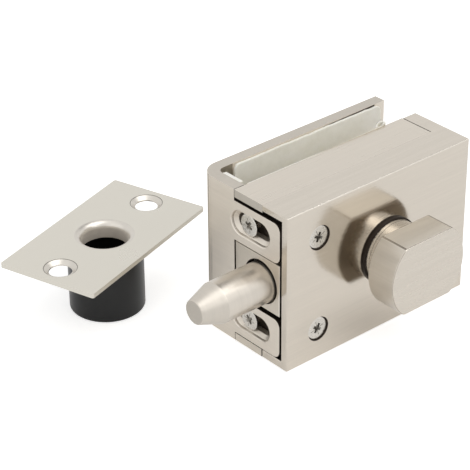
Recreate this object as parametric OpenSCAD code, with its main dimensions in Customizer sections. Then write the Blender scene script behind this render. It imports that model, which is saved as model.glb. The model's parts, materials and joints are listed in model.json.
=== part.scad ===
// Clamp-on floor lock for a frameless glass door, with its floor strike.
// The case lies on its long side with the bolt thrown out towards -X and the knob towards -Y.
// The origin is the centre of the case's footprint on the surface that it lies on.

/* [Case] */
// Length of the case along the bolt
body_l = 75; // [70:0.5:90]
// Depth of the case from the cover's face to the back of the clamp
body_d = 40; // [38:0.5:46]
// Height of the case as it lies
body_h = 53; // [50:0.5:60]
// Depth from the cover's face to the front jaw of the glass slot
case_d = 23.45; // [22:0.05:25]
// Wall of the cover and of the chassis
wall_t = 2.65; // [2:0.05:3]
// Depth of the cover's top and bottom walls, where the seam runs
cover_d = 10.9; // [9:0.1:13]
// Thickness of the cover's end wall
end_t = 5.4; // [5:0.1:7]
// Open line between the cover and the chassis on top
seam_gap = 0.05; // [0.05:0.05:0.4]
// Open line between the cover and the chassis underneath
low_seam_gap = 0.5; // [0.05:0.05:0.8]
// Open line between the chassis and the cover's end wall
end_seam_gap = 0.4; // [0.05:0.05:0.8]

/* [Glass clamp] */
// Thickness of the bent clamp plate
plate_t = 4; // [3.2:0.1:4.5]
// Outer radius of the clamp plate's bend
bend_r = 6.4; // [5:0.1:8]
// Length that the rear jaw stays short of the case's end
jaw_short = 1.3; // [0:0.1:4]
// Height of each tab on the bolt face
tab_h = 13.45; // [11.5:0.05:13.6]
// Distance from the case's edge to a tab
tab_inset = 3.3; // [3.2:0.05:4]
// How far the fork and the cover screws sit below the middle of the case
fork_drop = 0.45; // [0:0.05:0.5]
// Corner radius of a tab's free end
tab_r = 2.6; // [1:0.1:5]
// Gap between the cover's inside and a tab's free end
tab_gap = 0.7; // [0.4:0.1:1.2]
// Width of the tab slot at the face
slot_w = 8.5; // [8:0.1:9.5]
// Length of the tab slot at the face
slot_l = 17.7; // [14:0.1:19]
// Where the slot starts, from the cover's face
slot_y = 7.6; // [6.5:0.1:9]
// Where the clamp screws stand, from the cover's face
clamp_screw_y = 18.2; // [16:0.1:19.5]
// Thickness of the pads on the two jaws
pad_t = 1; // [0.5:0.1:1.5]
// Thickness of the strip pad at the bend
edge_pad_t = 1.6; // [1:0.1:2]

/* [Bolt] */
// Diameter of the bolt
bolt_dia = 13.1; // [12:0.1:13.4]
// Depth of the bolt's axis behind the cover's face
bolt_y = 11.7; // [11.2:0.1:12]
// How far the straight part of the bolt stands out
bolt_out = 17.7; // [12:0.1:22]
// Length of the conical nose
nose_l = 8; // [5:0.1:11]
// Diameter of the nose's flat tip
tip_dia = 7.9; // [5:0.1:10]
// Height of the guide block between the tabs
guide_h = 17.75; // [16.8:0.05:18]
// Length of the guide block
guide_l = 30; // [26:0.5:31]
// Diameter of the wider mouth round the bolt
mouth_dia = 14.5; // [13.9:0.1:14.8]
// Depth of the wider mouth
mouth_depth = 3; // [1:0.1:4]
// How far the guide block and its mouth sit above the bolt's axis
guide_up = 0.2; // [0:0.05:0.3]

/* [Knob] */
// Diameter of the knob
knob_dia = 30; // [24:0.5:34]
// Thickness of the knob
knob_t = 10.6; // [8:0.1:14]
// Distance across the knob's two flats
knob_flats = 22.9; // [18:0.1:24]
// Gap between the cover and the back of the knob
knob_gap = 6.5; // [4:0.1:8]
// Distance of the knob's axis from the bolt face
knob_x = 41.5; // [41:0.1:42]
// Diameter of the round shoulder behind the knob
shoulder_dia = 21; // [16:0.5:22.5]
// Diameter of the dark ring between the shoulder and the cover
collar_dia = 22; // [16:0.5:24]
// Thickness of the dark ring
collar_t = 1.9; // [1:0.1:3]
// Bevel round the knob's rims
knob_bevel = 0.5; // [0.2:0.1:1]

/* [Rack drive] */
// Tooth module of the pinion and the rack
gear_m = 1; // [0.96:0.01:1.02]
// Teeth of the pinion
pinion_z = 11; // [11:1:11]
// Face width of the pinion and the rack
rack_w = 5.9; // [5:0.1:6.2]
// Knob angle from locked to unlocked
knob_turn = 270; // [180:5:270]
// Thickness of the rack's bar above the teeth
rack_bar = 3.2; // [2.6:0.1:3.6]
// Diameter of the spindle at the knob
spindle_dia = 8; // [6:0.1:9]
// Diameter of the spindle in the pinion
journal_dia = 5; // [4:0.1:5.4]

/* [Screws] */
// Thread diameter of the clamp and cover screws
screw_dia = 4; // [3.5:0.1:4.5]
// Head diameter of the clamp screws
clamp_head = 7.1; // [6.5:0.1:7.4]
// Head diameter of the cover screws
cover_head = 7.5; // [7:0.1:8]
// Thread diameter of the screws inside the case
small_dia = 3; // [2:0.1:3]
// Distance of the cover screws from the bolt face
cover_screw_x = 12.7; // [12.4:0.1:13.2]
// Distance of the cover screws from the case's long edges
cover_screw_z = 10.6; // [10:0.1:11]

/* [Strike] */
// Length of the strike plate
strike_l = 61; // [56:0.5:80]
// Width of the strike plate
strike_w = 34.5; // [30:0.5:45]
// Thickness of the strike plate
strike_t = 1.5; // [1.2:0.1:2.5]
// Diameter of the dished hole at the plate's face
funnel_dia = 18.8; // [18:0.1:20]
// Diameter of the hole that takes the bolt
funnel_bore = 14.5; // [14:0.1:15.5]
// Distance between the two screw holes
hole_pitch = 46.4; // [42:0.1:48]
// Diameter of the screw holes
hole_dia = 7.2; // [5:0.1:8]
// Diameter of the countersinks
sink_dia = 10.3; // [9:0.1:11]
// Outer diameter of the cup
cup_dia = 24; // [22:0.1:28]
// Height of the cup
cup_h = 23.6; // [18:0.1:40]
// Wall of the cup
cup_wall = 1.6; // [1.2:0.1:2.5]
// Turn of the strike about the vertical as it stands
strike_turn = 17.6; // [0:0.1:40]
// Distance of the cup's axis to the left of the case's centre
strike_left = 54; // [50:0.5:80]
// Distance of the cup's axis behind the case's centre
strike_back = 46.4; // [44:0.2:80]

/* [Hidden] */
$fn = 96;

// Fits, all as a gap on one side
run_fit = 0.05;      // turning and sliding metal
press_fit = 0.02;    // pieces pushed home
slip_gap = 0.15;     // neighbours that pass each other
part_gap = 0.3;      // free space between moving pieces
side_gap = 0.1;      // end play along a shaft
cut = 1;             // how far a cutting shape runs past a face

// Colours
nickel = [0.80, 0.78, 0.74];
nickel_dark = [0.66, 0.64, 0.60];
zinc = [0.72, 0.73, 0.74];
steel = [0.55, 0.56, 0.58];
brass_tone = [0.78, 0.66, 0.38];
black = [0.12, 0.12, 0.12];
milky = [0.84, 0.88, 0.84];
nylon = [0.90, 0.89, 0.84];

// Places in the case's own frame: x from the bolt face, y from the cover's face, z from the bottom
mid_z = body_h / 2;
end_x = body_l - end_t;
jaw_l = body_l - jaw_short;
rear_jaw_y = body_d - plate_t;
web_t = wall_t;
web_y = case_d - web_t;
clamp_gap = 0.2;
chassis_x = plate_t + clamp_gap;
tab_y = wall_t + tab_gap;
tab_z = [tab_inset + tab_h / 2 - fork_drop, body_h - tab_inset - tab_h / 2 - fork_drop];
inner_y = wall_t + slip_gap;
fork_y = case_d + clamp_gap;

// Clamp slots: a chamfered mouth, a seat for the screw's cone and a parallel throat
mouth_chamfer = 0.3;
mouth_taper = 0.1;
mouth_deep = 1;
seat_deep = 1.1;
mouth_r = slot_w / 2 - mouth_chamfer;
seat_r = mouth_r - mouth_taper;
throat_r = seat_r - seat_deep;
slot_ends = [slot_y + slot_w / 2, slot_y + slot_l - slot_w / 2];

// Chassis end wall that carries the tabs
end_wall_t = 4;
end_wall_x = chassis_x + end_wall_t;

// Screws
recess_w = 1;
recess_deep = 1.1;
clamp_rim = 0.15;
clamp_head_x = mouth_deep - (clamp_head / 2 - (seat_r - slip_gap)) - clamp_rim;
clamp_screw_past = 4;
cover_rim = 0.1;
cover_head_y = 0.5;
cover_head_gap = 0.3;
cover_screw_at = [cover_screw_z - fork_drop, body_h - cover_screw_z - fork_drop];
cover_screw_l = 12;
boss_dia = 8;
boss_deep = 12;
boss_rib_w = 6;
small_head = 1.8 * small_dia;
small_rim = 0.05;
small_sunk = 0.1;
pan_head_h = 2;
hex_r = 1.15;
hex_deep = 2;

// Rack and pinion
pressure = 25;
pitch_r = gear_m * pinion_z / 2;
base_r = pitch_r * cos(pressure);
pinion_tip = pitch_r + 0.9 * gear_m;
pinion_root = pitch_r - 1.25 * gear_m;
backlash = 0.06;
throw = pitch_r * knob_turn * PI / 180;
tooth_pitch = PI * gear_m;
rack_addendum = 0.85 * gear_m;
rack_dedendum = 1.2 * gear_m;
rack_pitch_z = mid_z + pitch_r;
rack_root_z = rack_pitch_z + rack_dedendum;
rack_top_z = rack_root_z + rack_bar;
rack_end_x = knob_x + tooth_pitch;
bolt_end_x = knob_x - pinion_tip - throw - 2 * part_gap;
foot_l = 4;
foot_x = bolt_end_x - foot_l;
foot_up = 1.6;
foot_z = mid_z + foot_up;
rack_y = bolt_y - rack_w / 2;
tooth_root_t = 0.5;
pin_dia = 2.5;
pin_up = 3.5;
pin_x = (foot_x + bolt_end_x) / 2;
pin_z = mid_z + pin_up;
rack_groove_r = 1.7;

// Guide block
guide_y = tab_y;
guide_z = mid_z + guide_up - guide_h / 2;
bore_r = bolt_dia / 2 + run_fit;
rack_slot_w = rack_w + 2 * slip_gap;
guide_screw_at = [[12, -1], [24, 1]];
guide_screw_off = bore_r - 0.1;
guide_screw_deep = 3.6;

// Rail over the rack, with the detent
rail_x = cover_screw_x + boss_dia / 2 + part_gap;
rail_l = 40;
rail_z = rack_top_z + slip_gap;
rail_h = 10;
rail_y = 8;
rail_screw_in = 6;
rail_screw_x = [rail_x + rail_screw_in, rail_x + rail_l - rail_screw_in];
rail_head_deep = 3;
rail_screw_grip = 1.8;
ball_r = 1.5;
ball_up = 1;
ball_z = rack_top_z + ball_up;
detent_in = 4.5;
detent_x = rack_end_x - detent_in;
detent_bore_r = ball_r + side_gap;
spring_r = 1.25;
spring_wire = 0.36;
spring_turns = 6;
plug_r = 2;
plug_l = 3.4;
plug_sunk = 0.2;
plug_z = rail_z + rail_h - plug_l;

// Knob axis, measured along y
knob_back = -knob_gap;
knob_front = knob_back - knob_t;
collar_y = -part_gap - collar_t;
bush_flange = 1;
bush_flange_w = 2;
bush_wall = 2;
bush_proud = 0.5;
front_bush_r = spindle_dia / 2 + bush_wall;
washer_t = 0.5;
washer_wide = 1;
washer_y = wall_t + bush_flange + side_gap;
clip_t = 0.8;
clip_y = washer_y + washer_t + side_gap;
clip_groove_r = spindle_dia / 2 - 0.5;
clip_r = spindle_dia / 2 + 1.8;
clip_slot_w = 3;
pinion_y = rack_y + side_gap / 2;
pinion_hub_l = 3.5;
hub_end_y = pinion_y + rack_w + pinion_hub_l;
pinion_pin_dia = 1.6;
rear_bush_wall = 2.5;
rear_bush_r = journal_dia / 2 + rear_bush_wall;
rear_flange_y = web_y - bush_flange;
blind_gap = 0.4;
knob_bore_l = 8.7;
grub_l = 6;

// Pegs that hook the cover's far end to the chassis
peg_r = 2;
peg_l = 3;
peg_y = 15.7;
lug_l = 6.5;
lug_h = 6;
peg_z = [wall_t + lug_h / 2, body_h - wall_t - lug_h / 2];

// Pads
pad_inset = 0.1;
rear_pad_inset = 0.8;
pad_lip_r = 1.2;
front_pad_x = plate_t + edge_pad_t + clamp_gap;
front_pad_end = 6.6;
rear_pad_x = 10.2;
rear_pad_end = 2.2;
edge_pad_y = [case_d + 2 * pad_lip_r, body_d - bend_r];

// Strike
strike_top = cup_h + strike_t;
strike_corner = 0.7;
funnel_r = (funnel_dia - funnel_bore) / 2;
collar_wall = 1.2;
collar_down = 5.5;
lip_t = 1.8;
cup_floor = 2;
land_t = 0.4;

// Frames
module in_case() {
    translate([-body_l / 2, -body_d / 2, 0]) children();
}
module in_strike() {
    translate([-strike_left, strike_back, 0]) rotate([0, 0, strike_turn]) children();
}
// Turn a shape made along +Z so that it runs along +X or +Y
module along_x() { rotate([0, 90, 0]) children(); }
module along_y() { rotate([-90, 0, 0]) children(); }
module rod_x(x0, x1, y, z, r) {
    translate([x0, y, z]) along_x() cylinder(h = x1 - x0, r = r);
}
module rod_y(y0, y1, x, z, r) {
    translate([x, y0, z]) along_y() cylinder(h = y1 - y0, r = r);
}
module block(x0, x1, y0, y1, z0, z1) {
    translate([x0, y0, z0]) cube([x1 - x0, y1 - y0, z1 - z0]);
}
module ring_y(y0, y1, x, z, r_in, r_out) {
    translate([x, y0, z]) along_y() rotate_extrude()
        translate([r_in, 0]) square([r_out - r_in, y1 - y0]);
}

// Cross recess, drawn at the head's face and cutting along +Z
module cross_recess(r) {
    arm = 1.15 * r;
    for (a = [45, 135]) rotate([0, 0, a])
        translate([-arm / 2, -recess_w / 2, -cut]) cube([arm, recess_w, recess_deep + cut]);
}
// Countersunk screw with its face at z = 0 and its shank towards +Z
module sunk_screw(head_r, rim, shank_r, length) {
    cone = head_r - shank_r;
    difference() {
        union() {
            cylinder(h = rim, r = head_r);
            translate([0, 0, rim]) cylinder(h = cone, r1 = head_r, r2 = shank_r);
            cylinder(h = length, r = shank_r);
        }
        cross_recess(head_r);
    }
}
// Pan head screw with its shoulder at z = 0 and its shank towards +Z
module pan_screw(head_r, head_h, shank_r, length) {
    difference() {
        union() {
            translate([0, 0, -head_h]) cylinder(h = head_h, r = head_r);
            translate([0, 0, -head_h]) cylinder(h = head_h + length, r = shank_r);
        }
        translate([0, 0, -head_h]) cross_recess(head_r);
    }
}

// Clamp plate
module slot_stage(x0, x1, r0, r1, z) {
    for (y = slot_ends)
        translate([x0, y, z]) along_x() cylinder(h = x1 - x0, r1 = r0, r2 = r1);
    translate([0, slot_ends[1], z]) rotate([90, 0, 0])
        linear_extrude(slot_ends[1] - slot_ends[0])
            polygon([[x0, -r0], [x1, -r1], [x1, r1], [x0, r0]]);
}
module clamp_slot(z) {
    slot_stage(-cut, mouth_chamfer, slot_w / 2 + cut, mouth_r, z);
    slot_stage(mouth_chamfer, mouth_deep, mouth_r, seat_r, z);
    slot_stage(mouth_deep, mouth_deep + seat_deep, seat_r, throat_r, z);
    slot_stage(mouth_deep, plate_t + cut, throat_r, throat_r, z);
}
module tab(z) {
    translate([0, 0, z - tab_h / 2]) along_x() linear_extrude(plate_t) {
        translate([-tab_h, tab_y + tab_r]) square([tab_h, fork_y - tab_y - tab_r]);
        translate([-tab_h + tab_r, tab_y]) square([tab_h - 2 * tab_r, tab_r + cut]);
        for (c = [tab_r, tab_h - tab_r]) translate([-c, tab_y + tab_r]) circle(tab_r);
    }
}
module bend_profile() {
    translate([0, fork_y]) square([plate_t, body_d - bend_r - fork_y]);
    translate([bend_r, rear_jaw_y]) square([jaw_l - bend_r, plate_t]);
    translate([bend_r, body_d - bend_r]) difference() {
        circle(bend_r);
        circle(bend_r - plate_t);
        translate([0, -2 * bend_r]) square(4 * bend_r);
        translate([-2 * bend_r, -2 * bend_r]) square([4 * bend_r, 2 * bend_r]);
    }
}
module clamp_plate() {
    color(nickel) in_case() difference() {
        union() {
            linear_extrude(body_h) bend_profile();
            for (z = tab_z) tab(z);
        }
        for (z = tab_z) clamp_slot(z);
    }
}

// Pads
module rear_glass_pad() {
    color(milky) in_case()
        block(rear_pad_x, jaw_l - rear_pad_end, rear_jaw_y - pad_t, rear_jaw_y,
            rear_pad_inset, body_h - rear_pad_inset);
}
module edge_glass_pad() {
    color(milky) in_case()
        block(plate_t, plate_t + edge_pad_t, edge_pad_y[0], edge_pad_y[1],
            pad_inset, body_h - pad_inset);
}
module front_glass_pad() {
    lip_x = end_x - front_pad_end - pad_lip_r;
    color(milky) in_case() union() {
        block(front_pad_x, lip_x, case_d, case_d + pad_t, pad_inset, body_h - pad_inset);
        block(lip_x - pad_lip_r, lip_x, case_d, case_d + pad_lip_r, pad_inset, body_h - pad_inset);
        translate([lip_x, case_d + pad_lip_r, pad_inset])
            cylinder(h = body_h - 2 * pad_inset, r = pad_lip_r);
    }
}

// Case
module cover_screw_places() {
    for (z = cover_screw_at) translate([cover_screw_x, 0, z]) along_y() children();
}
module case_cover() {
    seat_y = cover_head_y + cover_rim;
    rack_reach = rack_end_x + throw + part_gap;
    color(nickel) in_case() difference() {
        union() {
            block(0, body_l, 0, wall_t, 0, body_h);
            block(0, end_x, 0, cover_d, 0, wall_t);
            block(0, end_x, 0, cover_d, body_h - wall_t, body_h);
            block(end_x, body_l, 0, case_d - part_gap, 0, body_h);
        }
        cover_screw_places() {
            translate([0, 0, -cut]) cylinder(h = wall_t + 2 * cut, r = screw_dia / 2 + slip_gap);
            translate([0, 0, -cut]) cylinder(h = seat_y + cut, r = cover_head / 2 + cover_head_gap);
            translate([0, 0, seat_y]) cylinder(h = (cover_head - screw_dia) / 2,
                r1 = cover_head / 2 + slip_gap, r2 = screw_dia / 2 + slip_gap);
        }
        rod_y(-cut, wall_t + cut, knob_x, mid_z, front_bush_r + press_fit);
        for (z = peg_z) rod_x(end_x - cut, end_x + peg_l + part_gap, peg_y, z, peg_r + slip_gap);
        block(end_x - cut, max(rack_reach, end_x), rack_y - part_gap, rack_y + rack_w + part_gap,
            rack_pitch_z - rack_addendum - part_gap, rack_top_z + part_gap);
    }
}
module chassis_boss(z) {
    rod_y(inner_y, web_y + cut, cover_screw_x, z, boss_dia / 2);
    block(end_wall_x - cut, cover_screw_x, inner_y + cut, web_y + cut,
        z - boss_rib_w / 2, z + boss_rib_w / 2);
}
module lock_chassis() {
    color(nickel_dark) in_case() difference() {
        union() {
            block(chassis_x, end_x - end_seam_gap, web_y, case_d, 0, body_h);
            block(0, end_x - end_seam_gap, cover_d + low_seam_gap, case_d, 0, wall_t);
            block(0, end_x - end_seam_gap, cover_d + seam_gap, case_d, body_h - wall_t, body_h);
            block(chassis_x, end_wall_x, inner_y, web_y + cut, wall_t + slip_gap,
                body_h - wall_t - slip_gap);
            block(chassis_x, end_wall_x, cover_d + low_seam_gap, case_d, 0, body_h);
            for (z = cover_screw_at) chassis_boss(z);
            for (z = peg_z) {
                block(end_x - lug_l, end_x - seam_gap, cover_d + low_seam_gap, web_y + cut,
                    z - lug_h / 2 - cut, z + lug_h / 2);
                rod_x(end_x - cut, end_x + peg_l, peg_y, z, peg_r);
            }
        }
        block(chassis_x - cut, end_wall_x + cut, inner_y - cut, web_y - press_fit,
            guide_z - press_fit, guide_z + guide_h + press_fit);
        block(chassis_x - cut, end_wall_x + cut, bolt_y - rack_slot_w / 2, bolt_y + rack_slot_w / 2,
            mid_z, rack_top_z + part_gap);
        for (z = tab_z)
            rod_x(chassis_x - cut, end_wall_x + clamp_screw_past + cut, clamp_screw_y, z,
                screw_dia / 2 + press_fit);
        for (z = cover_screw_at)
            rod_y(inner_y - cut, inner_y + boss_deep, cover_screw_x, z, screw_dia / 2 + press_fit);
        rod_y(web_y - cut, case_d + cut, knob_x, mid_z, rear_bush_r + press_fit);
        for (g = guide_screw_at) translate([g[0], case_d, mid_z + g[1] * guide_screw_off])
            rotate([90, 0, 0]) {
                translate([0, 0, -cut]) cylinder(h = web_t + 2 * cut, r = small_dia / 2 + press_fit);
                translate([0, 0, -cut]) cylinder(h = small_head / 2 - small_dia / 2 + cut,
                    r1 = small_head / 2 + cut, r2 = small_dia / 2);
            }
        for (x = rail_screw_x)
            rod_y(web_y - cut, web_y + rail_screw_grip + part_gap, x, rail_z + rail_h / 2,
                small_dia / 2 + press_fit);
    }
}
module bolt_guide() {
    color(nickel) in_case() difference() {
        union() {
            block(0, chassis_x - slip_gap, guide_y, case_d - clamp_gap, guide_z, guide_z + guide_h);
            block(0, guide_l, guide_y, web_y - press_fit, guide_z, guide_z + guide_h);
        }
        rod_x(-cut, guide_l + cut, bolt_y, mid_z, bore_r);
        rod_x(-cut, mouth_depth, bolt_y, mid_z + guide_up, mouth_dia / 2);
        block(foot_x - part_gap, guide_l + cut, bolt_y - rack_slot_w / 2, bolt_y + rack_slot_w / 2,
            foot_z - part_gap, guide_z + guide_h + cut);
        for (g = guide_screw_at) rod_y(web_y - guide_screw_deep - part_gap, web_y + cut, g[0],
            mid_z + g[1] * guide_screw_off, small_dia / 2 + press_fit);
    }
}

// Screws of the case
module clamp_screws() {
    color(zinc) in_case() for (z = tab_z) translate([clamp_head_x, clamp_screw_y, z]) along_x()
        sunk_screw(clamp_head / 2, clamp_rim, screw_dia / 2, end_wall_x + clamp_screw_past - clamp_head_x);
}
module cover_screws() {
    color(zinc) in_case() cover_screw_places() translate([0, 0, cover_head_y])
        sunk_screw(cover_head / 2, cover_rim, screw_dia / 2, cover_screw_l);
}
module guide_screws() {
    color(zinc) in_case() for (g = guide_screw_at)
        translate([g[0], case_d - small_sunk, mid_z + g[1] * guide_screw_off]) rotate([90, 0, 0])
            sunk_screw(small_head / 2 - small_sunk - slip_gap, small_rim, small_dia / 2,
                web_t + guide_screw_deep);
}
module rail_screws() {
    color(zinc) in_case() for (x = rail_screw_x)
        translate([x, rail_y + rail_head_deep, rail_z + rail_h / 2]) along_y()
            pan_screw(small_head / 2, pan_head_h, small_dia / 2,
                web_y + rail_screw_grip - rail_y - rail_head_deep);
}

// Bolt and rack
module deadbolt() {
    color(nickel) in_case() difference() {
        union() {
            rod_x(-bolt_out, bolt_end_x, bolt_y, mid_z, bolt_dia / 2);
            translate([-bolt_out - nose_l, bolt_y, mid_z]) along_x()
                cylinder(h = nose_l, r1 = tip_dia / 2, r2 = bolt_dia / 2);
        }
        block(foot_x, bolt_end_x + cut, rack_y - press_fit, rack_y + rack_w + press_fit,
            foot_z, mid_z + bolt_dia);
        rod_y(bolt_y - bolt_dia, bolt_y + bolt_dia, pin_x, pin_z, pin_dia / 2 + press_fit);
    }
}
module rack_tooth(x) {
    half = tooth_pitch / 4 - backlash;
    tip = half - rack_addendum * tan(pressure);
    root = half + rack_dedendum * tan(pressure);
    translate([x, rack_y + rack_w, rack_pitch_z]) rotate([90, 0, 0]) linear_extrude(rack_w)
        polygon([
            [-tip, -rack_addendum], [tip, -rack_addendum],
            [root, rack_dedendum], [root, rack_dedendum + tooth_root_t],
            [-root, rack_dedendum + tooth_root_t], [-root, rack_dedendum]
        ]);
}
module bolt_rack() {
    tooth_first = -ceil(throw / tooth_pitch + 1.5);
    color(steel) in_case() difference() {
        union() {
            block(foot_x + press_fit, rack_end_x, rack_y, rack_y + rack_w, rack_root_z, rack_top_z);
            block(foot_x + press_fit, bolt_end_x, rack_y, rack_y + rack_w, foot_z + press_fit, rack_top_z);
            for (k = [tooth_first : 0]) rack_tooth(knob_x + (k + 0.5) * tooth_pitch);
        }
        rod_y(rack_y - cut, rack_y + rack_w + cut, pin_x, pin_z, pin_dia / 2 + press_fit);
        rod_x(detent_x - throw, detent_x, bolt_y, ball_z, rack_groove_r);
        for (x = [detent_x - throw, detent_x]) translate([x, bolt_y, ball_z])
            sphere(rack_groove_r);
    }
}
module rack_pin() {
    half = sqrt(pow(bolt_dia / 2, 2) - pow(pin_up + pin_dia / 2, 2)) - side_gap;
    color(steel) in_case() rod_y(bolt_y - half, bolt_y + half, pin_x, pin_z, pin_dia / 2);
}
module rack_rail() {
    color(nylon) in_case() difference() {
        block(rail_x, rail_x + rail_l, rail_y, web_y, rail_z, rail_z + rail_h);
        translate([detent_x, bolt_y, rail_z - cut]) cylinder(h = rail_h + 2 * cut, r = detent_bore_r);
        translate([detent_x, bolt_y, plug_z]) cylinder(h = plug_l + cut, r = plug_r + press_fit);
        for (x = rail_screw_x) {
            rod_y(rail_y - cut, web_y + cut, x, rail_z + rail_h / 2, small_dia / 2 + press_fit);
            rod_y(rail_y - cut, rail_y + rail_head_deep, x, rail_z + rail_h / 2, small_head / 2 + slip_gap);
        }
    }
}
module detent_ball() {
    color(steel) in_case() translate([detent_x, bolt_y, ball_z]) sphere(ball_r);
}
// Helical spring as one tube: rings of points along the coil, closed at both ends
function coil_point(t, r, h) = [r * cos(360 * spring_turns * t), r * sin(360 * spring_turns * t), h * t];
module coil_tube(r, h, wire_r, sides, steps) {
    rise = atan(h / (spring_turns * 2 * PI * r));
    points = [for (i = [0 : steps]) let (t = i / steps, a = 360 * spring_turns * t, c = coil_point(t, r, h))
        for (j = [0 : sides - 1]) let (b = 360 * j / sides)
            c + wire_r * [cos(b) * cos(a) + sin(b) * sin(a) * sin(rise),
                cos(b) * sin(a) - sin(b) * cos(a) * sin(rise), sin(b) * cos(rise)]];
    sides_faces = [for (i = [0 : steps - 1], j = [0 : sides - 1]) let (k = (j + 1) % sides)
        [i * sides + j, (i + 1) * sides + j, (i + 1) * sides + k, i * sides + k]];
    caps = [[for (j = [0 : sides - 1]) j], [for (j = [sides - 1 : -1 : 0]) steps * sides + j]];
    polyhedron(points, concat(sides_faces, caps));
}
module detent_spring() {
    low = ball_z + ball_r + spring_wire / 2;
    high = plug_z - spring_wire / 2;
    color(steel) in_case() translate([detent_x, bolt_y, low])
        coil_tube(spring_r, high - low, spring_wire / 2, 6, 96);
}
module detent_plug() {
    color(zinc) in_case() translate([detent_x, bolt_y, plug_z]) difference() {
        cylinder(h = plug_l - plug_sunk, r = plug_r);
        translate([0, 0, plug_l - hex_deep]) cylinder(h = hex_deep, r = hex_r, $fn = 6);
    }
}

// Spindle and pinion
module knob_spindle() {
    color(steel) in_case() difference() {
        union() {
            rod_y(knob_back - knob_bore_l + blind_gap, pinion_y - press_fit, knob_x, mid_z, spindle_dia / 2);
            rod_y(pinion_y - cut, case_d - blind_gap, knob_x, mid_z, journal_dia / 2);
        }
        ring_y(clip_y - press_fit, clip_y + clip_t + press_fit, knob_x, mid_z,
            clip_groove_r, spindle_dia);
        translate([knob_x, hub_end_y - pinion_hub_l / 2, mid_z - spindle_dia])
            cylinder(h = 2 * spindle_dia, r = pinion_pin_dia / 2 + press_fit);
    }
}
// Involute tooth: half its angle at radius r
function inv_deg(a) = (tan(a) - a * PI / 180) * 180 / PI;
function half_angle(r) = 90 / pinion_z - backlash / pitch_r * 180 / PI
    + inv_deg(pressure) - inv_deg(acos(min(1, base_r / r)));
function on_circle(r, a) = [r * cos(a), r * sin(a)];
flank_steps = 5;
function flank(i) = base_r + (pinion_tip - base_r) * i / flank_steps;
module pinion_outline() {
    root_half = half_angle(base_r);
    polygon([for (k = [0 : pinion_z - 1]) let (a = 360 * k / pinion_z) each concat(
        [on_circle(pinion_root, a - root_half)],
        [for (i = [0 : flank_steps]) on_circle(flank(i), a - half_angle(flank(i)))],
        [for (i = [flank_steps : -1 : 0]) on_circle(flank(i), a + half_angle(flank(i)))],
        [on_circle(pinion_root, a + root_half)]
    )]);
}
module drive_pinion() {
    color(brass_tone) in_case() translate([knob_x, pinion_y, mid_z]) difference() {
        along_y() rotate([0, 0, -90]) union() {
            linear_extrude(rack_w - side_gap) pinion_outline();
            cylinder(h = rack_w + pinion_hub_l, r = pinion_root);
        }
        along_y() translate([0, 0, -cut])
            cylinder(h = rack_w + pinion_hub_l + 2 * cut, r = journal_dia / 2 + press_fit);
        translate([0, rack_w + pinion_hub_l / 2, -spindle_dia])
            cylinder(h = 2 * spindle_dia, r = pinion_pin_dia / 2 + press_fit);
    }
}
module pinion_pin() {
    reach = pinion_root - side_gap;
    color(steel) in_case() translate([knob_x, hub_end_y - pinion_hub_l / 2, mid_z - reach])
        cylinder(h = 2 * reach, r = pinion_pin_dia / 2);
}
module front_bush() {
    color(brass_tone) in_case() union() {
        ring_y(0, wall_t + bush_proud, knob_x, mid_z, spindle_dia / 2 + run_fit, front_bush_r);
        ring_y(wall_t, wall_t + bush_flange, knob_x, mid_z, spindle_dia / 2 + run_fit,
            front_bush_r + bush_flange_w);
    }
}
module rear_bush() {
    color(brass_tone) in_case() union() {
        ring_y(web_y - bush_proud, case_d - side_gap, knob_x, mid_z, journal_dia / 2 + run_fit, rear_bush_r);
        ring_y(rear_flange_y, web_y, knob_x, mid_z, journal_dia / 2 + run_fit, rear_bush_r + bush_flange_w);
    }
}
module thrust_washer() {
    color(steel) in_case()
        ring_y(washer_y, washer_y + washer_t, knob_x, mid_z, spindle_dia / 2 + press_fit,
            front_bush_r + washer_wide);
}
module spindle_circlip() {
    color(steel) in_case() difference() {
        ring_y(clip_y, clip_y + clip_t, knob_x, mid_z, clip_groove_r + press_fit, clip_r);
        block(knob_x - clip_slot_w / 2, knob_x + clip_slot_w / 2, clip_y - cut, clip_y + clip_t + cut,
            mid_z - clip_r - cut, mid_z);
    }
}

// Knob
module turn_knob() {
    r = knob_dia / 2;
    shoulder_r = shoulder_dia / 2;
    shoulder_end = collar_y - press_fit - knob_front;
    color(nickel) in_case() difference() {
        translate([knob_x, knob_front, mid_z]) along_y() rotate_extrude() polygon([
            [0, 0], [r - knob_bevel, 0], [r, knob_bevel], [r, knob_t - knob_bevel],
            [r - knob_bevel, knob_t], [shoulder_r, knob_t], [shoulder_r, shoulder_end], [0, shoulder_end]
        ]);
        for (s = [-1, 1]) translate([knob_x - knob_dia, knob_front - cut,
                mid_z + s * (knob_flats / 2 + knob_dia / 2) - knob_dia / 2])
            cube([2 * knob_dia, knob_t + 2 * cut, knob_dia]);
        rod_y(knob_back - knob_bore_l, 0, knob_x, mid_z, spindle_dia / 2 + press_fit);
        translate([knob_x, knob_back - knob_t / 2, mid_z - knob_flats / 2 - cut])
            cylinder(h = knob_flats / 2, r = screw_dia / 2 + press_fit);
    }
}
module knob_collar() {
    color(black) in_case()
        ring_y(collar_y, -part_gap, knob_x, mid_z, spindle_dia / 2 + press_fit, collar_dia / 2);
}
module knob_grub_screw() {
    color(steel) in_case()
        translate([knob_x, knob_back - knob_t / 2, mid_z - spindle_dia / 2 - press_fit - grub_l])
        difference() {
            cylinder(h = grub_l, r = screw_dia / 2);
            translate([0, 0, -cut]) cylinder(h = hex_deep + cut, r = hex_r, $fn = 6);
        }
}

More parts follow.
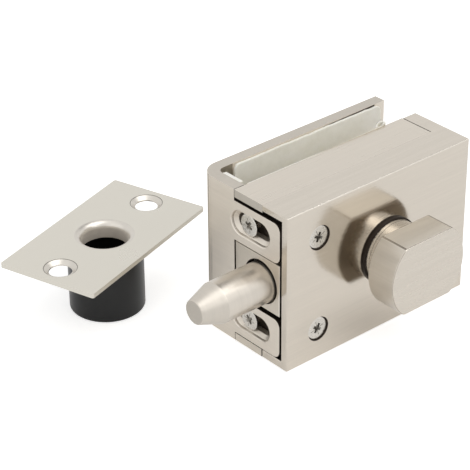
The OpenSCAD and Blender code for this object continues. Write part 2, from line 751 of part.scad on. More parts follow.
// Strike
module strike_plate() {
    sink_step = strike_t - land_t;
    color(nickel) in_strike() difference() {
        union() {
            difference() {
                translate([0, 0, cup_h]) linear_extrude(strike_t) union() {
                    square([strike_l - 2 * strike_corner, strike_w], center = true);
                    square([strike_l, strike_w - 2 * strike_corner], center = true);
                    for (x = [-1, 1], y = [-1, 1])
                        translate([x * (strike_l / 2 - strike_corner), y * (strike_w / 2 - strike_corner)])
                            circle(strike_corner);
                }
                translate([0, 0, cup_h - cut]) cylinder(h = strike_t + 2 * cut, r = funnel_dia / 2);
            }
            rotate_extrude() difference() {
                translate([funnel_bore / 2, strike_top - collar_down])
                    square([funnel_r + collar_wall, collar_down]);
                translate([funnel_bore / 2 + collar_wall, strike_top - collar_down - cut])
                    square([funnel_r + cut, collar_down - strike_t + cut]);
                translate([funnel_bore / 2, strike_top - funnel_r]) difference() {
                    square([funnel_r, funnel_r + cut]);
                    translate([funnel_r, 0]) circle(funnel_r);
                }
            }
        }
        for (s = [-1, 1]) translate([s * hole_pitch / 2, 0, cup_h]) {
            translate([0, 0, -cut]) cylinder(h = strike_t + 2 * cut, r = hole_dia / 2);
            translate([0, 0, land_t]) cylinder(h = sink_step, r1 = hole_dia / 2, r2 = sink_dia / 2);
            translate([0, 0, strike_t - 0.001]) cylinder(h = cut, r = sink_dia / 2);
        }
    }
}
module dust_cup() {
    r = cup_dia / 2;
    neck_r = funnel_bore / 2 + collar_wall + press_fit;
    color(black) in_strike() rotate_extrude() polygon([
        [0, 0], [r, 0], [r, cup_h], [neck_r, cup_h], [neck_r, cup_h - lip_t],
        [r - cup_wall, cup_h - lip_t], [r - cup_wall, cup_floor], [0, cup_floor]
    ]);
}

case_cover();
lock_chassis();
bolt_guide();
clamp_plate();
rear_glass_pad();
edge_glass_pad();
front_glass_pad();
clamp_screws();
cover_screws();
guide_screws();
deadbolt();
bolt_rack();
rack_pin();
rack_rail();
rail_screws();
detent_ball();
detent_spring();
detent_plug();
knob_spindle();
drive_pinion();
pinion_pin();
front_bush();
rear_bush();
thrust_washer();
spindle_circlip();
turn_knob();
knob_collar();
knob_grub_screw();
strike_plate();
dust_cup();
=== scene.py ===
import json
import math
import bmesh
import bpy
from mathutils import Matrix, Vector, noise


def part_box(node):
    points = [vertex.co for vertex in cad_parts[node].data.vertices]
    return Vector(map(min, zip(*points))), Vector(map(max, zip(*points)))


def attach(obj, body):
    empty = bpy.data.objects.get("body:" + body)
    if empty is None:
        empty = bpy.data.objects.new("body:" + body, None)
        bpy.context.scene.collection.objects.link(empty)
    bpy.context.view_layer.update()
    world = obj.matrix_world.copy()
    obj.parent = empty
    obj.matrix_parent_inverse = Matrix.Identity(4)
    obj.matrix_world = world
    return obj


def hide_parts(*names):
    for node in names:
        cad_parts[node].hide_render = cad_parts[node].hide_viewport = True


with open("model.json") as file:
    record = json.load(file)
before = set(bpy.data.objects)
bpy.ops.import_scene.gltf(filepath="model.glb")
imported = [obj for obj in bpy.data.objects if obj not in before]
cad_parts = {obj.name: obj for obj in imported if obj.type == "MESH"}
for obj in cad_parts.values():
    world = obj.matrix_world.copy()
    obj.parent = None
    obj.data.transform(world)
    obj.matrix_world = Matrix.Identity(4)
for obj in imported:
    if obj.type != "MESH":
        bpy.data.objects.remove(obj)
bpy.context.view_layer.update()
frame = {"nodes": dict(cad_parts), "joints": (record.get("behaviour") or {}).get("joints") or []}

# The lock's pieces are in millimetres in the case's own frame: x from the bolt face, y from the cover's
# face, z up. The strike and its cup are in millimetres about their own axis, the rest is in metres
mm = 0.001
tau = 2 * math.pi
hair, touching, near, beside, skin = 0.001, 0.05, 0.1, 0.2, 0.5  # tolerances that pick out faces and edges
coverLow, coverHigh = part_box("case_cover")
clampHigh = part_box("clamp_plate")[1]
caseCorner = Vector((coverLow.x, coverLow.y, 0))
caseSize = Vector((coverHigh.x - coverLow.x, clampHigh.y - coverLow.y, coverHigh.z)) / mm
caseMatrix = Matrix.Translation(caseCorner) @ Matrix.Scale(mm, 4)
midZ = caseSize.z / 2


def nodeSpan(node):  # a CAD node's two corners in the case's own millimetres
    low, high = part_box(node)
    return (low - caseCorner) / mm, (high - caseCorner) / mm


# Camera, at the photograph's viewing angle
cameraSettings = {
    "eye": (-0.3659, -0.3825, 0.3364),
    "target": (-0.02822, 0.01593, 0.0265),
    "roll": -0.545,
    "lens": 151.4,
    "shift": (0.0077, 0.0107),
}


def linked(name, data):
    made = bpy.data.objects.new(name, data)
    bpy.context.scene.collection.objects.link(made)
    return made


def aimed(spot, target, axis="-Z"):  # stands at the spot and turns the axis to the target
    spot = Vector(spot)
    turn = (Vector(target) - spot).to_track_quat(axis, "Y").to_matrix().to_4x4()
    return Matrix.Translation(spot) @ turn


def makeCamera(s):
    data = bpy.data.cameras.new("photoCamera")
    data.sensor_width = 36
    data.lens = s["lens"]
    data.shift_x, data.shift_y = s["shift"]
    data.clip_start, data.clip_end = 0.01, 20
    camera = linked("photoCamera", data)
    camera.matrix_world = aimed(s["eye"], s["target"]) @ Matrix.Rotation(math.radians(s["roll"]), 4, "Z")
    bpy.context.scene.camera = camera


makeCamera(cameraSettings)
bpy.context.scene.view_settings.view_transform = "Standard"
print("camera set")


# Shader maths: a Field is a socket that takes part in Python expressions
class Field:
    def __init__(self, paint, socket):
        self.paint = paint
        self.socket = socket

    def maths(self, operation, first, second):
        return self.paint.maths(operation, first, second)

    def __add__(self, other):
        return self.maths("ADD", self, other)

    def __radd__(self, other):
        return self.maths("ADD", other, self)

    def __sub__(self, other):
        return self.maths("SUBTRACT", self, other)

    def __rsub__(self, other):
        return self.maths("SUBTRACT", other, self)

    def __mul__(self, other):
        return self.maths("MULTIPLY", self, other)

    def __rmul__(self, other):
        return self.maths("MULTIPLY", other, self)


class Paint:
    def __init__(self, owner):
        owner.use_nodes = True
        self.owner = owner
        self.tree = owner.node_tree
        self.tree.nodes.clear()

    def make(self, kind, settings=None, inputs=None, output=0):
        made = self.tree.nodes.new(kind)
        for name, value in (settings or {}).items():
            if name == "stops":
                for element, (place, shade) in zip(made.color_ramp.elements, value):
                    element.position, element.color = place, (shade, shade, shade, 1)
            else:
                setattr(made, name, value)
        for key, value in (inputs or {}).items():
            if isinstance(value, Field):
                self.tree.links.new(value.socket, made.inputs[key])
            else:
                made.inputs[key].default_value = value
        return Field(self, made.outputs[output]) if made.outputs else None

    def maths(self, operation, first, second):
        return self.make("ShaderNodeMath", {"operation": operation}, {0: first, 1: second})

    def place(self, stretch):  # Object coordinates times a scale on each axis
        spot = self.make("ShaderNodeTexCoord", output="Object")
        return self.make("ShaderNodeMapping", {}, {"Vector": spot, "Scale": stretch})

    def noise(self, stretch, detail=3, rough=0.55):
        return self.make(
            "ShaderNodeTexNoise",
            {},
            {"Vector": self.place(stretch), "Scale": 1, "Detail": detail, "Roughness": rough},
        )

    def ramp(self, value, low, high):  # 0 below low, 1 above high
        return self.make("ShaderNodeValToRGB", {"stops": [(low, 0), (high, 1)]}, {"Fac": value})

    def blendColours(self, amount, first, second):
        return self.make(
            "ShaderNodeMix", {"data_type": "RGBA"}, {0: amount, 6: (*first, 1), 7: (*second, 1)}, output=2
        )

    def bump(self, height, distance):
        return self.make("ShaderNodeBump", {}, {"Height": height, "Distance": distance, "Strength": 1})

    def surface(self, **inputs):
        sockets = {name.replace("_", " "): value for name, value in inputs.items()}
        shader = self.make("ShaderNodeBsdfPrincipled", {}, sockets)
        self.make("ShaderNodeOutputMaterial", {}, {"Surface": shader})
        return self.owner


def tinted(colour, factor):
    return tuple(channel * factor for channel in colour)


# Metals: fine brushed streaks, broader bands of them, and a slow cloudiness of the polish
metalSettings = {  # colour, roughness, grain along x, y and z, and its depth in metres
    "coverMetal": ((0.625, 0.574, 0.504), 0.135, (50, 2300, 2300), 0.32e-5),
    # lighter copy of the cover's metal: painted highlight along the cover's top front edge
    "coverEdgeHighlightMetal": ((0.735, 0.685, 0.612), 0.26, (900, 900, 900), 0.3e-5),
    "chassisMetal": ((0.675, 0.621, 0.545), 0.30, (50, 2300, 2300), 0.3e-5),
    # darker, rougher copy of the chassis metal: painted shade on the upper flange's end face
    "flangeShadeMetal": ((0.545, 0.512, 0.458), 0.42, (700, 700, 60), 0.6e-5),
    "clampMetal": ((0.715, 0.662, 0.588), 0.50, (60, 60, 2200), 0.9e-5),
    "clampCutMetal": ((0.575, 0.532, 0.470), 0.42, (700, 700, 60), 1.1e-5),
    "guideMetal": ((0.600, 0.549, 0.474), 0.36, (300, 1500, 60), 0.8e-5),
    # near-black copy of the metal: painted shade in gaps, bores, recesses and hollow insides, and a painted
    # shadow line above the rear pad
    "gapShadeMetal": ((0.075, 0.060, 0.048), 0.55, (300, 1500, 60), 0.8e-5),
    "boltMetal": ((0.640, 0.593, 0.528), 0.31, (1600, 120, 120), 0.6e-5),
    # darker copies of the bolt's metal: painted shade on the cone, and on the tip face, which is also rougher
    "boltConeShadeMetal": ((0.585, 0.543, 0.483), 0.38, (1600, 120, 120), 0.6e-5),
    "boltTipShadeMetal": ((0.480, 0.446, 0.397), 0.50, (900, 900, 900), 0.6e-5),
    "knobMetal": ((0.620, 0.573, 0.506), 0.26, (60, 2200, 2200), 1.0e-5),
    "knobSideMetal": ((0.650, 0.606, 0.540), 0.36, (1700, 60, 1700), 1.2e-5),
    # lighter copy with the flats' own milled grain: painted light on the flats
    "knobFlatLitMetal": ((0.735, 0.688, 0.612), 0.36, (60, 1700, 1700), 1.2e-5),
    # dark copy: painted shade along the edges between the flats and the round side
    "knobEdgeShadeMetal": ((0.270, 0.238, 0.200), 0.40, (900, 900, 900), 0.5e-5),
    # dark brown copy: painted shade on the knob's back face, darkening its reflection in the cover, on the
    # knob's front rim and in the clamp's bare bend
    "brownShadeMetal": ((0.380, 0.335, 0.278), 0.50, (900, 900, 900), 0.5e-5),
    "strikeMetal": ((0.675, 0.645, 0.576), 0.30, (90, 90, 90), 0.3e-5, 0.008),  # with its own contrast
    # lighter, much rougher copy: painted light down the funnel's wall
    "funnelWallLitMetal": ((0.700, 0.655, 0.590), 0.80, (500, 500, 1500), 0.3e-5),
    # light copy of the metal: painted highlight on the guide's edge beside the cover, and painted light on
    # the walls of the end seam
    "paintedLightMetal": ((0.860, 0.805, 0.725), 0.30, (900, 900, 900), 0.3e-5),
    "funnelMetal": ((0.640, 0.605, 0.550), 0.34, (500, 500, 1500), 0.3e-5),
    # dark copy: painted shade on a thin rim round each countersink
    "rimShadeMetal": ((0.200, 0.185, 0.160), 0.35, (900, 900, 900), 0.3e-5),
    "zincMetal": ((0.660, 0.635, 0.590), 0.27, (1300, 1300, 1300), 0.7e-5),
    # darker copies of the zinc: painted shade inside the screws' cross recesses
    "clampRecessMetal": ((0.480, 0.455, 0.415), 0.42, (1300, 1300, 1300), 0.7e-5),
    "recessMetal": ((0.300, 0.280, 0.250), 0.42, (1300, 1300, 1300), 0.7e-5),
    "innerSteel": ((0.480, 0.485, 0.500), 0.33, (900, 900, 900), 0.8e-5),
    "turnedBrass": ((0.680, 0.520, 0.230), 0.28, (200, 1800, 200), 0.6e-5),
}
streakSettings = {
    "broad": 0.22,
    "sharpen": (0.36, 0.64),
    "contrast": 0.045,
    "cloudScale": 38,
    "toneShares": (0.45, 0.3, 0.25),  # of the streaks, the bands and the clouds
    "roughShares": (0.05, 0.03, 0.05),
    "smoother": 0.06,
}


def brushedMetal(name, colour, rough, grain, depth, contrast=streakSettings["contrast"]):
    s = streakSettings
    paint = Paint(bpy.data.materials.new(name))
    fine = paint.ramp(paint.noise(grain, detail=4, rough=0.6), *s["sharpen"])
    broad = paint.ramp(paint.noise(tinted(grain, s["broad"])), *s["sharpen"])
    clouds = paint.noise((s["cloudScale"],) * 3, detail=2)

    def mixed(shares):
        return shares[0] * fine + shares[1] * broad + shares[2] * clouds

    return paint.surface(
        Base_Color=paint.blendColours(
            mixed(s["toneShares"]), tinted(colour, 1 - contrast), tinted(colour, 1 + contrast)
        ),
        Metallic=1.0,
        Roughness=rough - s["smoother"] + mixed(s["roughShares"]),
        Normal=paint.bump(fine, depth),
    )


finishes = {name: brushedMetal(name, *values) for name, values in metalSettings.items()}

plasticSettings = {  # colour, roughness, grain, its depth in metres, and shine
    "blackPlastic": ((0.026, 0.018, 0.013), 0.42, 1800, 0.8e-5, 0.14),
    "cupPlastic": ((0.013, 0.013, 0.013), 0.30, 900, 0.05e-5, 0.32),
    "railNylon": ((0.780, 0.760, 0.680), 0.45, 1400, 1.0e-5, 0.5),
}
mouldSettings = {"cloudScale": 60, "contrast": 0.1, "roughSpread": 0.04}


def mouldedPlastic(name, colour, rough, grain, depth, shine):
    s = mouldSettings
    paint = Paint(bpy.data.materials.new(name))
    clouds = paint.noise((s["cloudScale"],) * 3, detail=2)
    return paint.surface(
        Base_Color=paint.blendColours(
            clouds, tinted(colour, 1 - s["contrast"]), tinted(colour, 1 + s["contrast"])
        ),
        Roughness=rough - s["roughSpread"] / 2 + s["roughSpread"] * clouds,
        Specular_IOR_Level=shine,
        Normal=paint.bump(paint.noise((grain,) * 3), depth),
    )


finishes.update({name: mouldedPlastic(name, *values) for name, values in plasticSettings.items()})

padSettings = {
    "clear": (1.0, 0.970, 0.885),
    "cloudy": (0.90, 0.87, 0.78),
    "spread": (0.35, 0.62),
    "rough": 0.32,
    "roughSpread": 0.2,
    "grain": 420,
    "patches": (70, 70, 120),
    "depth": 6e-5,
    "milky": 0.25,  # share of the light that scatters inside
    "milkyReach": (0.002, 0.002, 0.0018),
}


def milkyPad(name, s):
    paint = Paint(bpy.data.materials.new(name))
    mottle = paint.noise((s["grain"],) * 3, detail=4, rough=0.65)
    patches = paint.noise(s["patches"], detail=2)
    clear = paint.ramp(0.5 * mottle + 0.5 * patches, *s["spread"])
    return paint.surface(
        Base_Color=paint.blendColours(clear, s["cloudy"], s["clear"]),
        Roughness=s["rough"] + s["roughSpread"] * (mottle - 0.5),
        Subsurface_Weight=s["milky"],
        Subsurface_Radius=s["milkyReach"],
        Normal=paint.bump(mottle, s["depth"]),
    )


finishes["milkyPad"] = milkyPad("milkyPad", padSettings)
print("materials made:", len(finishes))


# Modelling helpers. Each works on a bmesh in millimetres
def spanMatrix(low, high):
    low, high = Vector(low), Vector(high)
    return Matrix.Translation((low + high) / 2) @ Matrix.Diagonal((*(high - low), 1))


def addBlock(bm, low, high):
    return bmesh.ops.create_cube(bm, size=1, matrix=spanMatrix(low, high))["verts"]


def addRod(bm, start, end, radius, endRadius=None, segments=96):
    start, end = Vector(start), Vector(end)
    turn = Vector((0, 0, 1)).rotation_difference(end - start).to_matrix().to_4x4()
    return bmesh.ops.create_cone(
        bm,
        cap_ends=True,
        segments=segments,
        radius1=radius,
        radius2=radius if endRadius is None else endRadius,
        depth=(end - start).length,
        matrix=Matrix.Translation((start + end) / 2) @ turn,
    )["verts"]


def addLoop(bm, points):
    verts = [bm.verts.new(point) for point in points]
    return [bm.edges.new((a, b)) for a, b in zip(verts, verts[1:] + verts[:1])]


def fillLoops(bm, *loops):
    edges = [edge for loop in loops for edge in loop]
    bmesh.ops.triangle_fill(bm, use_beauty=True, edges=edges)


def bridgeRings(bm, rings):
    for first, second in zip(rings, rings[1:]):
        bmesh.ops.bridge_loops(bm, edges=first + second)


def arc(centre, radius, start, end, steps):  # points in a plane, angles in degrees
    angles = [math.radians(start + (end - start) * i / steps) for i in range(steps + 1)]
    return [(centre[0] + radius * math.cos(a), centre[1] + radius * math.sin(a)) for a in angles]


def closeMesh(bm):
    bmesh.ops.remove_doubles(bm, verts=bm.verts, dist=1e-4)
    bmesh.ops.recalc_face_normals(bm, faces=bm.faces)


def flatten(bm):  # joins the triangles of each flat face
    bmesh.ops.dissolve_limit(
        bm, angle_limit=math.radians(0.5), verts=bm.verts, edges=bm.edges, delimit={"NORMAL"}
    )


def cutAlong(bm, place, normal, clearOuter=False):  # splits bm along a plane
    return bmesh.ops.bisect_plane(
        bm,
        geom=bm.verts[:] + bm.edges[:] + bm.faces[:],
        plane_co=place,
        plane_no=normal,
        clear_outer=clearOuter,
    )["geom_cut"]


def roundEdges(bm, width, segments=3, shortest=0.0, angle=50, keep=None):  # rounds edges bent past the angle
    sharp = [
        edge
        for edge in bm.edges
        if edge.is_manifold
        and edge.calc_length() > shortest
        and edge.calc_face_angle() > math.radians(angle)
        and (keep is None or keep((edge.verts[0].co + edge.verts[1].co) / 2))
    ]
    bmesh.ops.bevel(
        bm,
        geom=sharp,
        offset=width,
        offset_type="OFFSET",
        segments=segments,
        profile=0.5,
        affect="EDGES",
        clamp_overlap=True,
        material=-1,
    )


def lathe(bm, outline, segments=96):  # turns (radius, height) points about Z
    verts = [bm.verts.new((radius, 0, height)) for radius, height in outline]
    edges = [bm.edges.new(pair) for pair in zip(verts, verts[1:])]
    bmesh.ops.spin(
        bm, geom=verts + edges, cent=(0, 0, 0), axis=(0, 0, 1), angle=tau, steps=segments, use_merge=True
    )
    closeMesh(bm)


def turnTo(bm, origin, direction):
    turn = Vector((0, 0, 1)).rotation_difference(Vector(direction)).to_matrix().to_4x4()
    bmesh.ops.transform(bm, matrix=Matrix.Translation(origin) @ turn, verts=bm.verts)


def addObject(name, bm):
    mesh = bpy.data.meshes.new(name)
    bm.to_mesh(mesh)
    return linked(name, mesh)


def combine(bm, tools, operation):  # joins each closed shape in the list to bm, or cuts it out
    body = addObject("combined", bm)
    others = [addObject("tool", tool) for tool in tools]
    for other in others:
        step = body.modifiers.new("step", "BOOLEAN")
        step.object, step.operation, step.solver = other, operation, "EXACT"
    combined = bpy.data.meshes.new_from_object(body.evaluated_get(bpy.context.evaluated_depsgraph_get()))
    bm.clear()
    bm.from_mesh(combined)
    bpy.data.meshes.remove(combined)
    for made in [body] + others:
        bpy.data.meshes.remove(made.data)
    for tool in tools:
        tool.free()
    closeMesh(bm)


def carve(bm, cutters):
    combine(bm, cutters, "DIFFERENCE")


def shape(build, *details):
    bm = bmesh.new()
    build(bm, *details)
    return bm


def finishPiece(name, bm, finish, body, nodes, matrix=caseMatrix, sharpAngle=35, others=()):
    bmesh.ops.transform(bm, matrix=matrix, verts=bm.verts)
    for face in bm.faces:
        face.smooth = True
    for edge in bm.edges:
        edge.smooth = edge.is_manifold and edge.calc_face_angle() < math.radians(sharpAngle)
    piece = addObject(name, bm)
    bm.free()
    for used in (finish, *others):
        piece.data.materials.append(finishes[used])
    weighted = piece.modifiers.new("weightedNormals", "WEIGHTED_NORMAL")
    weighted.keep_sharp = True
    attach(piece, body)
    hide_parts(*nodes)
    return piece


def paintFaces(piece, index, fits):  # gives a material slot to the faces that fit, in the case's millimetres
    inverse = caseMatrix.inverted()
    for face in piece.data.polygons:
        if fits(inverse @ face.center, face.normal):
            face.material_index = index


# Clamp plate: a J bent from one strip, with a fork of two slotted tabs on the bolt face
clampSettings = {
    "thickness": 4.0,
    "bendRadius": 6.4,
    "bendSteps": 14,
    "forkRoot": 23.65,
    "tabTip": 3.35,
    "tabCorner": 2.6,
    "tabHeight": 13.45,
    "tabInset": 3.3,
    "forkDrop": 0.45,
    "slotFrom": 7.6,
    "slotLength": 17.7,
    "slotRings": [(4.25, 0), (3.95, 0.3), (3.85, 1.0), (2.75, 2.1), (2.75, 4.0)],  # half width and depth
    "edgeRound": 0.32,
    "tabRound": 0.14,
    "shadeTo": 10.1,
    "rimRound": 0.07,
}


def forkOutline(s, x):
    root, tip, corner = s["forkRoot"], s["tabTip"], s["tabCorner"]
    bendStart = caseSize.y - s["bendRadius"]
    outline = [(bendStart, 0), (root, 0)]
    for middle in tabMiddles:
        low, high = middle - s["tabHeight"] / 2, middle + s["tabHeight"] / 2
        outline.append((root, low))
        outline += arc((tip + corner, low + corner), corner, 270, 180, 8)
        outline += arc((tip + corner, high - corner), corner, 180, 90, 8)
        outline.append((root, high))
    outline += [(root, caseSize.z), (bendStart, caseSize.z)]
    return [(x, y, z) for y, z in outline]


def slotOutline(s, halfWidth, x, z):
    first = s["slotFrom"] + s["slotRings"][0][0]
    last = first + s["slotLength"] - 2 * s["slotRings"][0][0]
    ends = arc((last, z), halfWidth, -90, 90, 20) + arc((first, z), halfWidth, 90, 270, 20)
    return [(x, y, height) for y, height in ends]


def buildClampPlate(bm, s):
    front = addLoop(bm, forkOutline(s, 0))
    back = addLoop(bm, forkOutline(s, s["thickness"]))
    slots = []
    for z in tabMiddles:
        rings = [addLoop(bm, slotOutline(s, half, deep, z)) for half, deep in s["slotRings"]]
        bridgeRings(bm, rings)
        slots.append((rings[0], rings[-1]))
    fillLoops(bm, front, *[slot[0] for slot in slots])
    fillLoops(bm, back, *[slot[1] for slot in slots])
    bridgeRings(bm, [front, back])
    bendStart = caseSize.y - s["bendRadius"]
    wall = [f for f in bm.faces if all(abs(v.co.y - bendStart) < hair for v in f.verts)]
    spun = bmesh.ops.spin(
        bm,
        geom=wall + list({e for f in wall for e in f.edges}) + list({v for f in wall for v in f.verts}),
        cent=(s["bendRadius"], bendStart, 0),
        axis=(0, 0, 1),
        angle=-tau / 4,
        steps=s["bendSteps"],
    )["geom_last"]
    ends = [f for f in spun if isinstance(f, bmesh.types.BMFace)]
    pushed = bmesh.ops.extrude_face_region(bm, geom=ends)["geom"]
    moved = [v for v in pushed if isinstance(v, bmesh.types.BMVert)]
    jawLength = (clampHigh.x - coverLow.x) / mm - s["bendRadius"]
    bmesh.ops.translate(bm, vec=(jawLength, 0, 0), verts=moved)
    inner = [f for f in wall + ends if f.is_valid]
    bmesh.ops.delete(bm, geom=inner, context="FACES_ONLY")
    closeMesh(bm)
    flatten(bm)
    cutAlong(bm, (s["shadeTo"], 0, 0), (1, 0, 0))
    past = s["forkRoot"] + beside

    def onTabs(c):
        return c.y < past and near < c.z < caseSize.z - near

    roundEdges(bm, s["rimRound"], segments=2, angle=28, keep=lambda c: c.y < slotEnd and not onTabEdge(s, c))
    roundEdges(bm, s["tabRound"], segments=2, keep=onTabs)
    roundEdges(bm, s["edgeRound"], keep=lambda c: c.y > past)


def onTabEdge(s, c):
    offSlots = min(abs(c.z - z) for z in tabMiddles) > s["slotRings"][0][0] + beside
    return offSlots or c.y < s["slotFrom"] - beside


def onCutEdge(centre, normal):  # top and bottom of the bent strip
    return abs(normal.z) > 0.9 and min(centre.z, caseSize.z - centre.z) < skin


def inForkGap(centre, normal):
    s = clampSettings
    overGuide = abs(centre.z - tabMiddles[1] + s["tabHeight"] / 2) < beside and normal.z < -0.3
    inGap = centre.y < s["forkRoot"] + near and centre.x > touching and abs(normal.x) < 0.8
    return inGap and onTabEdge(s, centre) and not overGuide


def inBend(centre, normal):  # the corner of the slot that the pads leave bare, given painted shade
    s = clampSettings
    inner = math.hypot(centre.x - s["bendRadius"], centre.y - caseSize.y + s["bendRadius"])
    onArc = centre.x < s["bendRadius"] and inner < s["bendRadius"] - s["thickness"] + near
    onJaw = centre.x < s["shadeTo"] and abs(centre.y - caseSize.y + s["thickness"]) < near
    return abs(normal.z) < 0.1 and (onArc or onJaw) and centre.y > caseSize.y - s["bendRadius"] - near


slotEnd = clampSettings["slotFrom"] + clampSettings["slotLength"] + beside
tabOff = caseSize.z / 2 - clampSettings["tabInset"] - clampSettings["tabHeight"] / 2
tabMiddles = [midZ - clampSettings["forkDrop"] + side * tabOff for side in (-1, 1)]
clampPlate = finishPiece(
    "clampPlate", shape(buildClampPlate, clampSettings), "clampMetal", "clamp",
    ["clamp_plate"], others=["clampCutMetal", "gapShadeMetal", "brownShadeMetal"],
)
paintFaces(clampPlate, 1, onCutEdge)
# painted shade in the gaps of the fork and in the bend's bare corner
paintFaces(clampPlate, 2, inForkGap)
paintFaces(clampPlate, 3, inBend)
print("clamp plate done")

# Case cover: front plate, short top and bottom walls and a thick end wall
coverSettings = {
    "wall": 2.65,
    "topWall": 2.2,
    "endWall": 5.55,
    "sideDepth": 10.94,
    "screwX": 12.7,
    "screwZ": 10.6,
    "counterbore": (4.05, 0.6),  # radius and depth
    "sinkRadius": 3.9,
    "screwBore": 2.15,
    "bushBore": 6.02,
    "pegX": 3.3,
    "pegY": 15.7,
    "pegRadius": 2.15,
    "lugHeight": 6.0,
    "pocketDepth": 5.3,  # room for the rack in the end wall
    "pocketGap": 0.3,
    "edgeRound": 0.32,
    "shortest": 2.3,  # shorter edges, as round holes have, stay sharp
}
knobAxisX = sum(span.x for span in nodeSpan("turn_knob")) / 2
coverScrewPlaces = [
    (coverSettings["screwX"], z - clampSettings["forkDrop"])
    for z in (coverSettings["screwZ"], caseSize.z - coverSettings["screwZ"])
]
rackLow, rackHigh = nodeSpan("bolt_rack")
boltTravel = next(j for j in frame["joints"] if j["name"] == "bolt_slide")["range_m"][1] / mm


def buildCaseCover(bm, s):
    wall, past = s["wall"], 1.0
    endX = caseSize.x - s["endWall"]
    coverDepth = nodeSpan("case_cover")[1].y
    addBlock(bm, (0, 0, 0), (caseSize.x, coverDepth, caseSize.z))
    cutters = [
        shape(addBlock, (-past, wall, wall), (endX, coverDepth + past, caseSize.z - s["topWall"])),
        shape(addBlock, (-past, s["sideDepth"], -past), (endX, coverDepth + past, caseSize.z + past)),
        shape(addRod, (knobAxisX, -past, midZ), (knobAxisX, wall + past, midZ), s["bushBore"]),
    ]
    radius, depth = s["counterbore"]
    coneEnd = depth + s["sinkRadius"] - s["screwBore"]
    for x, z in coverScrewPlaces:
        for start, startRadius, end, endRadius in (
            (-past, s["screwBore"], wall + past, s["screwBore"]),
            (-past, radius, depth, radius),
            (depth - touching, s["sinkRadius"] + touching, coneEnd, s["screwBore"]),
        ):
            cutters.append(shape(addRod, (x, start, z), (x, end, z), startRadius, endRadius, 64))
    for z in (wall + s["lugHeight"] / 2, caseSize.z - wall - s["lugHeight"] / 2):
        pegStart, pegEnd = (endX - past, s["pegY"], z), (endX + s["pegX"], s["pegY"], z)
        cutters.append(shape(addRod, pegStart, pegEnd, s["pegRadius"], None, 32))
    gap = s["pocketGap"]
    pocketLow = (endX - past, rackLow.y - gap, rackHigh.z - s["pocketDepth"])
    pocketHigh = (rackHigh.x + boltTravel + gap, rackHigh.y + gap, rackHigh.z + gap)
    cutters.append(shape(addBlock, pocketLow, pocketHigh))
    carve(bm, cutters)
    flatten(bm)
    seam = s["sideDepth"]

    def offSeam(c):
        onEnd = c.y > seam and c.x < endX + near
        return c.y < coverDepth and abs(c.y - seam) > near and not onEnd

    roundEdges(bm, s["edgeRound"], shortest=s["shortest"], keep=offSeam)


def insideCover(centre, normal):
    s = coverSettings
    low, high = s["wall"] - touching, caseSize.z - s["topWall"] + touching
    return centre.y > low and low < centre.z < high and beside < centre.x < caseSize.x - s["endWall"] - near


def onEndSeam(centre, normal):
    s = coverSettings
    atSeam = abs(centre.x - caseSize.x + s["endWall"]) < near
    return normal.x < -0.9 and centre.y > s["wall"] and atSeam


def onTopEdge(centre, normal):
    width = coverSettings["edgeRound"]
    atEdge = centre.y < width and centre.z > caseSize.z - width
    return atEdge and normal.y < -0.2 and normal.z > 0.2


def inScrewHole(centre, normal):
    radius = coverSettings["counterbore"][0]
    away = min(math.hypot(centre.x - x, centre.z - z) for x, z in coverScrewPlaces)
    return away < radius + touching and hair < centre.y < coverSettings["wall"]


caseCover = finishPiece(
    "caseCover", shape(buildCaseCover, coverSettings), "coverMetal", "case", ["case_cover"],
    others=["gapShadeMetal", "paintedLightMetal", "coverEdgeHighlightMetal"],
)
# painted shade inside the cover and in its screws' counterbores, painted light on the end seam and a painted
# highlight on the top front edge
paintFaces(caseCover, 1, insideCover)
paintFaces(caseCover, 2, onEndSeam)
paintFaces(caseCover, 3, onTopEdge)
paintFaces(caseCover, 1, inScrewHole)
print("case cover done")


# Pieces whose CAD shape is right get broken edges on a merged copy
def easedCopy(name, node, finish, body, width, shortest, others, keep):
    bm = bmesh.new()
    bm.from_mesh(frame["nodes"][node].data)
    bmesh.ops.transform(bm, matrix=Matrix.Scale(1 / mm, 4), verts=bm.verts)
    closeMesh(bm)
    flatten(bm)
    roundEdges(bm, width, segments=2, shortest=shortest, angle=40, keep=keep)
    return finishPiece(name, bm, finish, body, [node], matrix=Matrix.Scale(mm, 4), others=others)


chassisHigh = nodeSpan("lock_chassis")[1]
chassisSettings = {
    "edgeRound": 0.2,
    "shortest": 1.0,
    "seamReach": 1.0,  # the edges are sharp beside the seam
    "endReach": 0.3,
}


def offSeams(middle):
    x, y = middle.xy - caseCorner.xy / mm
    onSides = coverSettings["sideDepth"] + chassisSettings["seamReach"] < y < chassisHigh.y - near
    return onSides or x > chassisHigh.x - touching


def insideChassis(centre, normal):
    low, high = coverSettings["wall"] - touching, caseSize.z - coverSettings["wall"] + touching
    return low < centre.z < high and centre.y < chassisHigh.y - near and centre.x < chassisHigh.x - near


def onUpperFlange(centre, normal):
    return normal.x < -0.9 and centre.x < near and centre.z > midZ


def onChassisEnd(centre, normal):
    return normal.x > 0.3 and centre.x > chassisHigh.x - chassisSettings["endReach"]


chassis = easedCopy(
    "lockChassis", "lock_chassis", "chassisMetal", "case",
    chassisSettings["edgeRound"], chassisSettings["shortest"],
    others=["gapShadeMetal", "flangeShadeMetal", "paintedLightMetal"], keep=offSeams,
)
# painted shade inside the chassis and, lighter, on the upper flange's end; painted light on the end face at
# the seam
for index, fits in enumerate((insideChassis, onUpperFlange, onChassisEnd), 1):
    paintFaces(chassis, index, fits)

guideLow, guideHigh = nodeSpan("bolt_guide")
guideSettings = {"edgeRound": 0.35, "shortest": 0.2, "shadeFrom": 0.36, "brightReach": 0.4}


